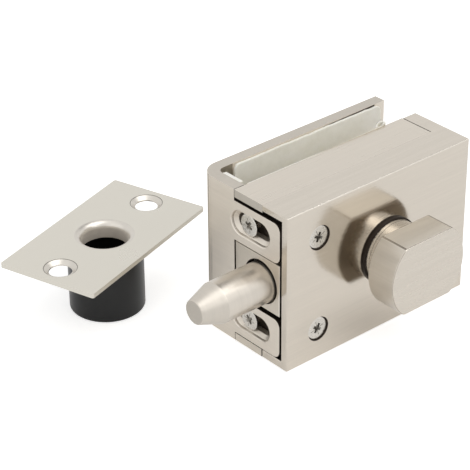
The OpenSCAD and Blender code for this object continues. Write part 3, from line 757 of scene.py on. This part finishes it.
def onGuideRim(middle):
    spot = middle - caseCorner / mm
    atSides = min(abs(spot.y - guideLow.y), abs(spot.y - guideHigh.y)) < touching
    atEnds = min(abs(spot.z - guideLow.z), abs(spot.z - guideHigh.z)) < touching
    return abs(spot.x - guideLow.x) < touching and (atSides or atEnds)


def inShade(centre, normal):
    deep = centre.x > guideSettings["shadeFrom"] and abs(normal.x) < 0.5 and normal.z < 0.5
    return deep or (normal.y > 0.3 and centre.y > guideHigh.y - skin)


def onBrightEdge(centre, normal):
    atEdge = centre.y < guideLow.y + guideSettings["brightReach"]
    return atEdge and normal.x < -0.2 and normal.y < -0.2


guide = easedCopy(
    "boltGuide", "bolt_guide", "guideMetal", "case",
    guideSettings["edgeRound"], guideSettings["shortest"],
    others=["gapShadeMetal", "paintedLightMetal"], keep=onGuideRim,
)
# painted shade deep in the bore and along the back edge; a painted highlight on the edge beside the cover
paintFaces(guide, 1, inShade)
paintFaces(guide, 2, onBrightEdge)
print("chassis and guide done")

# Screws: countersunk heads with a cross recess, its four ticks and a fine rim
screwSettings = {
    "clamp": {
        "head": 3.55, "rim": 0.15, "shank": 2.0, "length": 11.2,
        "turns": (8, -14), "recess": "clampRecessMetal",
    },
    "cover": {
        "head": 3.7, "rim": 0.1, "shank": 2.0, "length": 12.0,
        "turns": (-14, -22), "recess": "recessMetal",
    },
}
headSettings = {
    "flat": 0.9,  # share of the head
    "dome": 0.03,
    "edge": 0.12,
    "edgeDrop": 0.07,
    "neck": 0.1,
    "neckLong": 0.3,
    "point": 0.4,
}
recessSettings = {
    "width": 1.15,
    "reach": 0.56,
    "deep": 1.0,
    "taper": 0.6,
    "core": 0.972,  # share of the width
    "coreDeeper": 0.25,
    "coreTip": 0.5,
    "tick": 0.2,
    "tickReach": 0.68,
    "tickDeep": 0.2,
    "shadeReach": 0.6,
    "shadeFrom": 0.12,
}


def turnAboutZ(bm, turn):
    bmesh.ops.rotate(bm, cent=(0, 0, 0), matrix=Matrix.Rotation(math.radians(turn), 3, "Z"), verts=bm.verts)


def crossBar(head, turn, reach, width, deep, taper=1):
    bar = bmesh.new()
    half = reach * head
    verts = addBlock(bar, (-half, -width / 2, -1), (half, width / 2, deep))
    bmesh.ops.scale(bar, vec=(taper, taper, 1), verts=[v for v in verts if v.co.z > 0])
    turnAboutZ(bar, turn)
    return bar


def crossCutters(head, s):
    arms = [crossBar(head, turn, s["reach"], s["width"], s["deep"], s["taper"]) for turn in (45, 135)]
    wide, deepest = s["core"] * s["width"], s["deep"] + s["coreDeeper"]
    core = shape(addRod, (0, 0, -1), (0, 0, deepest), wide, wide * s["coreTip"], 8)
    ticks = [crossBar(head, turn, s["tickReach"], s["tick"], s["tickDeep"]) for turn in (0, 90)]
    return arms + [core] + ticks


def buildSunkScrew(bm, s, form, turn):
    head, rim, shank, length = s["head"], s["rim"], s["shank"], s["length"]
    dome, neckStart = form["dome"], rim + head - shank
    outline = [
        (0, 0),
        (head * form["flat"], 0),
        (head - form["edge"], dome),
        (head, dome + form["edgeDrop"]),
        (head, rim),
        (shank + form["neck"], neckStart),
        (shank, neckStart + form["neckLong"]),
        (shank, length - form["point"]),
        (shank - form["point"], length),
        (0, length),
    ]
    lathe(bm, outline, 64)
    carve(bm, crossCutters(head, recessSettings))
    turnAboutZ(bm, turn)


def placeScrew(name, kind, place, direction, turn, node):
    s = screwSettings[kind]
    bm = shape(buildSunkScrew, s, headSettings, turn)
    turnTo(bm, place, direction)
    screw = finishPiece(
        name, bm, "zincMetal", "case", [node], sharpAngle=30, others=[s["recess"]]
    )
    start, along = Vector(place), Vector(direction)
    deepest = recessSettings["deep"] + recessSettings["coreDeeper"] + touching
    widest = recessSettings["shadeReach"] * s["head"]

    # painted shade inside the cross recess
    def inRecess(centre, normal):
        depth = (centre - start).dot(along)
        away = (centre - start - depth * along).length
        return recessSettings["shadeFrom"] < depth < deepest and away < widest

    paintFaces(screw, 1, inRecess)


clampScrewY = sum(span.y for span in nodeSpan("clamp_screws")) / 2
clampHeadX = nodeSpan("clamp_screws")[0].x
coverHeadY = nodeSpan("cover_screws")[0].y
screwPlaces = {
    "clamp": ((1, 0, 0), [(clampHeadX, clampScrewY, z) for z in tabMiddles]),
    "cover": ((0, 1, 0), [(x, coverHeadY, z) for x, z in coverScrewPlaces]),
}
for kind, (direction, places) in screwPlaces.items():
    for label, place, turn in zip(("Lower", "Upper"), places, screwSettings[kind]["turns"]):
        placeScrew(kind + "Screw" + label, kind, place, direction, turn, kind + "_screws")
print("screws done")

# Bolt: turned bar with a conical nose, slotted at its tail for the rack
boltLow, boltHigh = nodeSpan("deadbolt")
boltY = (boltLow.y + boltHigh.y) / 2
boltSettings = {
    "radius": 6.55,
    "tip": 3.95,
    "nose": 8.0,
    "tipRound": 0.5,
    "shoulderRound": 0.16,
    "shoulderSoft": 0.2,
    "tailRound": 0.3,
    "slotFloor": 1.6,  # above the axis
    "drillReach": 8.0,
    "fit": 0.02,
}


def buildDeadbolt(bm, s):
    radius, nose, length = s["radius"], s["nose"], boltHigh.x - boltLow.x
    slope = math.atan2(radius - s["tip"], nose)
    blend, tail = s["shoulderRound"], s["tailRound"]
    drop = blend * math.tan(slope)
    tipArc = arc((0, s["tipRound"]), s["tipRound"], -90, -math.degrees(slope), 5)
    outline = [(0, 0)] + [(s["tip"] - s["tipRound"] + r, h) for r, h in tipArc]
    outline += [
        (radius - drop, nose - blend),
        (radius - s["shoulderSoft"] * drop, nose),
        (radius, nose + blend),
        (radius, length - tail),
        (radius - tail, length),
        (0, length),
    ]
    lathe(bm, outline, 128)
    turnTo(bm, (boltLow.x, boltY, midZ), (1, 0, 0))
    pinLow, pinHigh = nodeSpan("rack_pin")
    pinX, pinZ = (pinLow.x + pinHigh.x) / 2, (pinLow.z + pinHigh.z) / 2
    fit, reach = s["fit"], s["drillReach"]
    slot = shape(
        addBlock,
        (rackLow.x - fit, rackLow.y - fit, midZ + s["slotFloor"]),
        (boltHigh.x + 1, rackHigh.y + fit, midZ + 2 * radius),
    )
    cutAlong(slot, (pinX, 0, 0), (1, 0, 0))  # walls split at the pin come out the same each run
    cutAlong(slot, (0, 0, pinZ), (0, 0, 1))
    pinStart, pinEnd = (pinX, boltY - reach, pinZ), (pinX, boltY + reach, pinZ)
    hole = shape(addRod, pinStart, pinEnd, (pinHigh.x - pinLow.x) / 2 + fit, None, 32)
    carve(bm, [slot, hole])


deadbolt = finishPiece(
    "deadbolt", shape(buildDeadbolt, boltSettings), "boltMetal", "bolt", ["deadbolt"],
    sharpAngle=25, others=["boltTipShadeMetal", "boltConeShadeMetal"],
)
# painted shade: darker metal on the cone, and darker, rougher metal on the tip face
paintFaces(deadbolt, 2, lambda centre, normal: centre.x < boltLow.x + boltSettings["nose"])
paintFaces(deadbolt, 1, lambda centre, normal: centre.x < boltLow.x + touching)
print("bolt done")

# Knob with two flats and a round shoulder, and the dark ring between it and the cover
knobSettings = {
    "flats": 22.9,
    "back": -6.5,
    "shoulder": 10.5,
    "rimRound": 0.42,
    "flatEdge": 0.66,
    "sliver": 0.2,
    "shoulderRound": 0.15,
    "spindleBore": 4.02,
    "boreDepth": 8.7,
    "grubBore": 2.02,
}
knobLow, knobHigh = nodeSpan("turn_knob")
knobRadius = (knobHigh.x - knobLow.x) / 2


def buildTurnKnob(bm, s):
    addRod(bm, (knobAxisX, knobLow.y, midZ), (knobAxisX, s["back"], midZ), knobRadius, None, 160)
    half = s["flats"] / 2
    tilt = math.acos(half / knobRadius) / 2
    edgeAt = knobRadius * math.cos(tilt) - s["flatEdge"] / 2 * math.tan(tilt)
    cuts = [((0, side), half) for side in (-1, 1)]
    cuts += [((end * math.sin(tilt), side * math.cos(tilt)), edgeAt) for side in (-1, 1) for end in (-1, 1)]
    for (x, z), away in cuts:
        cut = cutAlong(bm, (knobAxisX + away * x, 0, midZ + away * z), (x, 0, z), clearOuter=True)
        bmesh.ops.contextual_create(bm, geom=[g for g in cut if isinstance(g, bmesh.types.BMEdge)])
    closeMesh(bm)
    bmesh.ops.remove_doubles(bm, verts=bm.verts, dist=s["sliver"])
    roundEdges(bm, s["rimRound"], segments=4)
    shoulderStart, shoulderEnd = (knobAxisX, s["back"] - 1, midZ), (knobAxisX, knobHigh.y, midZ)
    shoulder = shape(addRod, shoulderStart, shoulderEnd, s["shoulder"], None, 128)
    roundEdges(shoulder, s["shoulderRound"], segments=2)
    combine(bm, [shoulder], "UNION")
    boreEnd = s["back"] - s["boreDepth"]
    middleY, below = (knobLow.y + s["back"]) / 2, midZ - knobRadius - 5
    bore = shape(addRod, (knobAxisX, boreEnd, midZ), (knobAxisX, 1, midZ), s["spindleBore"], None, 64)
    grub = shape(addRod, (knobAxisX, middleY, below), (knobAxisX, middleY, midZ), s["grubBore"], None, 48)
    carve(bm, [bore, grub])


def offAxis(centre):
    return math.hypot(centre.x - knobAxisX, centre.z - midZ)


def onKnobSide(centre, normal):
    return abs(normal.y) < 0.3 and offAxis(centre) > knobRadius - 0.3 and abs(normal.z) < 0.8


def onKnobFlat(centre, normal):
    return abs(centre.z - midZ) > knobSettings["flats"] / 2 - touching and abs(normal.z) > 0.99


def onFlatEdge(centre, normal):
    return abs(normal.y) < 0.3 and offAxis(centre) > knobRadius - skin and 0.8 <= abs(normal.z) < 0.99


def onKnobBack(centre, normal):
    return normal.y > 0.9 and centre.y > knobSettings["back"] - near


def onFaceRim(centre, normal):
    return centre.y < knobLow.y + knobSettings["rimRound"] and -0.8 < normal.y < -0.25 and abs(normal.z) < 0.6


knob = finishPiece(
    "turnKnob", shape(buildTurnKnob, knobSettings), "knobMetal", "knob", ["turn_knob"],
    sharpAngle=30, others=["knobSideMetal", "knobEdgeShadeMetal", "brownShadeMetal", "knobFlatLitMetal"],
)
# painted light on the flats; painted shade along the flats' edges, on the back face and on the front rim
for index, fits in ((1, onKnobSide), (4, onKnobFlat), (2, onFlatEdge), (3, onKnobBack), (3, onFaceRim)):
    paintFaces(knob, index, fits)

collarSettings = {"bore": 4.02, "step": 1.2, "reach": 0.27, "edge": 0.15}


def buildKnobCollar(bm, s):
    low, high = nodeSpan("knob_collar")
    radius, end = (high.x - low.x) / 2, high.y - low.y + s["reach"]
    shoulder = knobSettings["shoulder"]
    lathe(
        bm,
        [
            (s["bore"], 0), (shoulder, 0), (shoulder, s["step"]), (radius - s["edge"], s["step"]),
            (radius, s["step"] + s["edge"]), (radius, end), (s["bore"], end), (s["bore"], 0),
        ],
    )
    turnTo(bm, (knobAxisX, low.y, midZ), (0, 1, 0))


knobCollar = finishPiece(
    "knobCollar", shape(buildKnobCollar, collarSettings), "blackPlastic", "knob",
    ["knob_collar"], others=["knobMetal"],
)
stepEnd = nodeSpan("knob_collar")[0].y + collarSettings["step"]
paintFaces(knobCollar, 1, lambda centre, normal: centre.y < stepEnd - hair and abs(normal.y) < 0.5)
print("knob done")

# Pads on the jaws: cut from soft milky plastic, so their edges wander a little
padShape = {
    "thick": 1.0,
    "lip": 1.2,
    "curl": 0.62,
    "curlLong": 1.6,
    "curlBack": 0.75,
    "curlEnd": 1.8,
    "slices": 20,
    "step": 1.6,
    "round": 0.22,
    "frontRound": 0.12,
    "corner": 2.2,
    "wander": 0.24,
    "ragged": 0.16,
    "pace": 0.23,  # how fast the wander changes along an edge
    "raggedPace": 5,  # times as fast
    "reach": 0.4,
    "frontReach": 0.3,
    "sunk": 0.45,
    "rise": 1.1,
    "riseFrom": 3.0,
    "glueFrom": 37.0,
    "glueHigh": 0.4,
    "glueThick": 0.12,
    "glueThin": 0.9,  # how far the line thins out at its start
    "rearTaller": 0.3,
    "seeds": {"rear": 4, "edge": 17, "front": 9, "ragged": 7, "ends": 3},
}
seeds = padShape["seeds"]


def wander(point, amount):  # a slow offset that differs from place to place
    return amount * noise.noise(Vector(point) * padShape["pace"])


def addShadowLine(bm, low, high, s):  # painted shadow: a dark strip between the jaw and the pad's top edge
    start, end = low.x + s["glueFrom"], high.x - s["corner"]
    shadowLineLow = (start, high.y - s["glueThick"], high.z - near)
    verts = addBlock(bm, shadowLineLow, (end, high.y, high.z + s["glueHigh"]))
    for face in {face for vert in verts for face in vert.link_faces}:
        face.material_index = 1
    for vert in verts:
        if vert.co.x < start + near and vert.co.z > high.z:
            vert.co.z -= s["glueThin"] * s["glueHigh"]


def buildPad(bm, low, high, s, seed, corner=0):
    addBlock(bm, low, high)
    if corner:
        middleY = (low.y + high.y) / 2
        roundEdges(bm, corner, segments=6, keep=lambda c: abs(c.y - middleY) < hair)
    for axis in (0, 2):
        count = max(2, round((high[axis] - low[axis]) / s["step"]))
        for i in range(1, count):
            at = Vector((0, 0, 0))
            at[axis] = low[axis] + (high[axis] - low[axis]) * i / count
            normal = Vector((0, 0, 0))
            normal[axis] = 1
            cutAlong(bm, at, normal)
    roundEdges(bm, s["round"])
    for vert in bm.verts:
        if min(abs(vert.co.z - low.z), abs(vert.co.z - high.z)) < s["reach"]:
            slow = wander((vert.co.x, seed, 0), s["wander"])
            vert.co.z += slow + wander((s["raggedPace"] * vert.co.x, seed, seeds["ragged"]), s["ragged"])
        if min(abs(vert.co.x - low.x), abs(vert.co.x - high.x)) < s["reach"]:
            vert.co.x += wander((seed, vert.co.z, seeds["ends"]), s["wander"])
    if corner:
        addShadowLine(bm, low, high, s)


def buildFrontPad(bm, s):
    low, high = nodeSpan("front_glass_pad")
    high.z -= s["sunk"]
    lipX = high.x - s["lip"]
    outline = [(low.x, low.y), (lipX, low.y)]
    middle = (0, low.y + s["lip"])
    curl = arc(middle, s["lip"], -90, 170, 16) + arc(middle, s["curl"], 170, -90, 12)
    outline += [(lipX - s["curlBack"] + s["curlLong"] * x, y) for x, y in curl]
    curlEnd = lipX - s["curlBack"] - s["curlEnd"]
    outline += [(curlEnd, low.y + s["thick"]), (low.x, low.y + s["thick"])]
    rings = []
    for i in range(s["slices"] + 1):
        z = low.z + (high.z - low.z) * i / s["slices"]
        rings.append(addLoop(bm, [(x, y, z) for x, y in outline]))
    bridgeRings(bm, rings)
    fillLoops(bm, rings[0])
    fillLoops(bm, rings[-1])
    closeMesh(bm)
    roundEdges(bm, s["frontRound"], segments=2)
    for vert in bm.verts:
        if min(abs(vert.co.z - low.z), abs(vert.co.z - high.z)) < s["frontReach"]:
            vert.co.z += wander((vert.co.x, seeds["front"], 0), s["wander"])
        along = min(1, max(0, (vert.co.x - lipX + s["riseFrom"]) / s["riseFrom"]))
        if vert.co.z > high.z - 1:
            vert.co.z += s["rise"] * along * along * (3 - 2 * along)


rearLow, rearHigh = nodeSpan("rear_glass_pad")
rearHigh.z += padShape["rearTaller"]
edgeLow, edgeHigh = nodeSpan("edge_glass_pad")
finishPiece(
    "rearGlassPad", shape(buildPad, rearLow, rearHigh, padShape, seeds["rear"], padShape["corner"]),
    "milkyPad", "clamp", ["rear_glass_pad"], others=["gapShadeMetal"],
)
finishPiece(
    "edgeGlassPad", shape(buildPad, edgeLow, edgeHigh, padShape, seeds["edge"]),
    "milkyPad", "clamp", ["edge_glass_pad"],
)
finishPiece(
    "frontGlassPad", shape(buildFrontPad, padShape), "milkyPad", "case", ["front_glass_pad"]
)
print("pads done")

# Strike: thin plate with a rolled-in centre hole and two countersunk screw holes
cupLow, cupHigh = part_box("dust_cup")
strikeTurn = 17.6  # degrees about z, as the plate lies in the photograph
strikeMatrix = (
    Matrix.Translation(((cupLow.x + cupHigh.x) / 2, (cupLow.y + cupHigh.y) / 2, 0))
    @ Matrix.Rotation(math.radians(strikeTurn), 4, "Z")
    @ Matrix.Scale(mm, 4)
)
cupHeight = cupHigh.z / mm
strikeSettings = {
    "size": (61, 34.5),
    "corner": 0.7,
    "thick": 1.5,
    "funnel": 9.4,
    "bore": 7.25,
    "wall": 1.2,
    "down": 5.5,
    "lipRound": 0.15,
    "pitch": 46.4,
    "hole": 3.6,
    "sink": 5.15,
    "land": 0.4,
    "landRound": 0.05,
    "landSlope": 0.06,
    "rim": 0.22,
    "rimDrop": 0.08,
    "edgeRound": 0.18,
}


def plateOutline(s, z):
    halfX, halfY, corner = s["size"][0] / 2, s["size"][1] / 2, s["corner"]
    points = []
    for sx, sy, start in ((1, 1, 0), (-1, 1, 90), (-1, -1, 180), (1, -1, 270)):
        points += arc((sx * (halfX - corner), sy * (halfY - corner)), corner, start, start + 90, 8)
    return [(x, y, z) for x, y in points]


def ringAt(bm, x, radius, z, steps):
    return addLoop(bm, [(x + px, py, z) for px, py in arc((0, 0), radius, 0, 360 - 360 / steps, steps - 1)])


def buildStrikePlate(bm, s):
    top, bottom = cupHeight + s["thick"], cupHeight
    roll = s["funnel"] - s["bore"]
    funnel = [(x, top - roll + y) for x, y in arc((s["funnel"], 0), roll, 90, 180, 12)]
    end = top - s["down"]
    outer = s["bore"] + s["wall"]
    lip = s["lipRound"]
    funnel += [(s["bore"], end + lip), (s["bore"] + lip, end)]
    funnel += [(outer - lip, end), (outer, end + lip), (outer, bottom)]
    chain = [ringAt(bm, 0, radius, z, 96) for radius, z in funnel]
    bridgeRings(bm, chain)
    tops, bottoms = [chain[0]], [chain[-1]]
    land, halfRim = bottom + s["land"], s["rim"] / 2
    sinkRings = [
        (s["sink"] + halfRim, top),
        (s["sink"] - halfRim, top - s["rimDrop"]),
        (s["hole"] + s["landSlope"], land + s["landRound"]),
        (s["hole"], land - s["landRound"]),
        (s["hole"], bottom),
    ]
    for side in (-1, 1):
        rings = [ringAt(bm, side * s["pitch"] / 2, radius, z, 64) for radius, z in sinkRings]
        bridgeRings(bm, rings)
        tops.append(rings[0])
        bottoms.append(rings[-1])
    upper, lower = addLoop(bm, plateOutline(s, top)), addLoop(bm, plateOutline(s, bottom))
    bridgeRings(bm, [upper, lower])
    fillLoops(bm, upper, *tops)
    fillLoops(bm, lower, *bottoms)
    closeMesh(bm)
    halfX, halfY = s["size"][0] / 2, s["size"][1] / 2
    sideX, sideY = halfX - s["corner"] - hair, halfY - s["corner"] - hair
    roundEdges(bm, s["edgeRound"], keep=lambda c: abs(c.x) > sideX or abs(c.y) > sideY)


def polishAndShadeFunnel(piece, s):  # the roll and the countersinks have their own finish; a thin rim round each countersink gets painted shade, and the funnel's wall a lighter, much rougher metal as painted light
    top = cupHeight + s["thick"]
    inverse = strikeMatrix.inverted()
    for face in piece.data.polygons:
        spot = inverse @ face.center
        if abs(spot.y) > s["funnel"] + near or spot.z > top - hair:
            continue
        inFunnel = math.hypot(spot.x, spot.y) < s["funnel"]
        onWall = inFunnel and spot.z < top - 0.6 * (s["funnel"] - s["bore"])
        inHole = math.hypot(abs(spot.x) - s["pitch"] / 2, spot.y) < s["sink"] + s["rim"] / 2
        onRim = inHole and spot.z > top - s["rimDrop"] + hair
        if inFunnel or inHole:
            face.material_index = 3 if onWall else 2 if onRim else 1


strikePlate = finishPiece(
    "strikePlate", shape(buildStrikePlate, strikeSettings), "strikeMetal", "strike",
    ["strike_plate"], matrix=strikeMatrix, others=["funnelMetal", "rimShadeMetal", "funnelWallLitMetal"],
)
polishAndShadeFunnel(strikePlate, strikeSettings)

# Cup under the strike
cupSettings = {
    "radius": 12.0,
    "wall": 1.6,
    "floor": 2.0,
    "neck": 8.47,
    "lip": 1.8,
    "footRound": 0.7,
    "rimRound": 0.2,
}


def buildDustCup(bm, s):
    radius, foot, rim = s["radius"], s["footRound"], s["rimRound"]
    inner = radius - s["wall"]
    outline = [(0, 0)] + arc((radius - foot, foot), foot, -90, 0, 6)
    outline += arc((radius - rim, cupHeight - rim), rim, 0, 90, 3)
    outline += [(s["neck"], cupHeight), (s["neck"], cupHeight - s["lip"]), (inner, cupHeight - s["lip"])]
    outline += arc((inner - foot, s["floor"] + foot), foot, 0, -90, 5) + [(0, s["floor"])]
    lathe(bm, outline, 128)


finishPiece(
    "dustCup", shape(buildDustCup, cupSettings), "cupPlastic", "strike", ["dust_cup"],
    matrix=strikeMatrix,
)
print("strike done")

# Inner works keep their CAD shape
innerFinishes = {
    "innerSteel": [
        "bolt_rack", "rack_pin", "detent_ball", "detent_spring", "knob_spindle", "pinion_pin",
        "thrust_washer", "spindle_circlip", "knob_grub_screw",
    ],
    "turnedBrass": ["drive_pinion", "front_bush", "rear_bush"],
    "railNylon": ["rack_rail"],
    "zincMetal": ["guide_screws", "rail_screws", "detent_plug"],
}
for finish, nodes in innerFinishes.items():
    for node in nodes:
        mesh = frame["nodes"][node].data
        mesh.materials.clear()
        mesh.materials.append(finishes[finish])
print("inner works painted:", sum(len(nodes) for nodes in innerFinishes.values()))

# Studio: pale floor, white surroundings and soft lamps
studioSettings = {
    "floorColour": (0.86, 0.86, 0.86),
    "floorGlow": 0.30,
    "whiteGlow": 0.28,  # more of it for the camera alone
    "floorRadius": 6.0,
    "ambient": 0.55,
    "flag": {"from": (0.60, 0.24, 0.86), "aim": (-0.055, -0.008, 0.026), "size": (0.75, 0.26), "shade": 0.08},
    "lampAim": (0, 0, 0.02),
    "lamps": [
        {"name": "topSoftbox", "from": (0.25, -0.35, 1.20), "size": 1.2, "watts": 4.6},
        {"name": "frontSoftbox", "from": (0.20, -1.10, 0.80), "size": 0.9, "watts": 1.6},
        {"name": "leftFill", "from": (-1.00, 0.10, 0.60), "size": 1.5, "watts": 1.3},
    ],
}


def shownTo(paint, rays):  # 1 for a ray of the named kinds, 0 for any other
    seen = [paint.make("ShaderNodeLightPath", output=f"Is {ray} Ray") for ray in rays]
    shown = seen[0]
    for other in seen[1:]:
        shown = paint.maths("MAXIMUM", shown, other)
    return shown


def glowing(paint, kind, strength):
    return paint.make(kind, {}, {"Color": (1, 1, 1, 1), "Strength": strength})


def whiteWorld(s):
    world = bpy.data.worlds.new("studioWorld")
    bpy.context.scene.world = world
    paint = Paint(world)
    shown = shownTo(paint, ("Camera", "Glossy", "Transmission"))
    back = glowing(paint, "ShaderNodeBackground", s["ambient"] + (1 - s["ambient"]) * shown)
    paint.make("ShaderNodeOutputWorld", {}, {"Surface": back})


def makeStage(name, bm, finish, hiddenFrom=()):
    made = addObject(name, bm)
    bm.free()
    made.data.materials.append(finish)
    for ray in hiddenFrom:
        setattr(made, "visible_" + ray, False)


def floorPaper(s):
    paint = Paint(bpy.data.materials.new("floorPaper"))
    shown, white = shownTo(paint, ("Camera", "Glossy")), shownTo(paint, ("Camera",))
    glow = glowing(paint, "ShaderNodeEmission", s["floorGlow"] * shown + s["whiteGlow"] * white)
    paper = paint.make("ShaderNodeBsdfDiffuse", {}, {"Color": (*s["floorColour"], 1)})
    both = paint.make("ShaderNodeAddShader", {}, {0: paper, 1: glow})
    paint.make("ShaderNodeOutputMaterial", {}, {"Surface": both})
    return paint.owner


def makeFloor(s):
    bm = bmesh.new()
    bmesh.ops.create_circle(bm, cap_ends=True, segments=96, radius=s["floorRadius"])
    makeStage("studioFloor", bm, floorPaper(s))


def flagCloth(s):
    paint = Paint(bpy.data.materials.new("flagCloth"))
    dark = glowing(paint, "ShaderNodeEmission", s["shade"])
    paint.make("ShaderNodeOutputMaterial", {}, {"Surface": dark})
    return paint.owner


def makeFlag(s):  # a dark card above the bolt that shows in its reflections alone
    bm = bmesh.new()
    bmesh.ops.create_grid(bm, x_segments=1, y_segments=1, size=0.5)
    bmesh.ops.scale(bm, vec=(*s["size"], 1), verts=bm.verts)
    bmesh.ops.transform(bm, matrix=aimed(s["from"], s["aim"], "Z"), verts=bm.verts)
    hiddenFrom = ("camera", "diffuse", "transmission", "volume_scatter", "shadow")
    makeStage("studioFlag", bm, flagCloth(s), hiddenFrom)


def makeLamp(lamp, target):
    data = bpy.data.lights.new(lamp["name"], "AREA")
    data.shape, data.size, data.energy = "DISK", lamp["size"], lamp["watts"]
    linked(lamp["name"], data).matrix_world = aimed(lamp["from"], target)


whiteWorld(studioSettings)
makeFloor(studioSettings)
makeFlag(studioSettings["flag"])
for lamp in studioSettings["lamps"]:
    makeLamp(lamp, studioSettings["lampAim"])
print("studio lit")
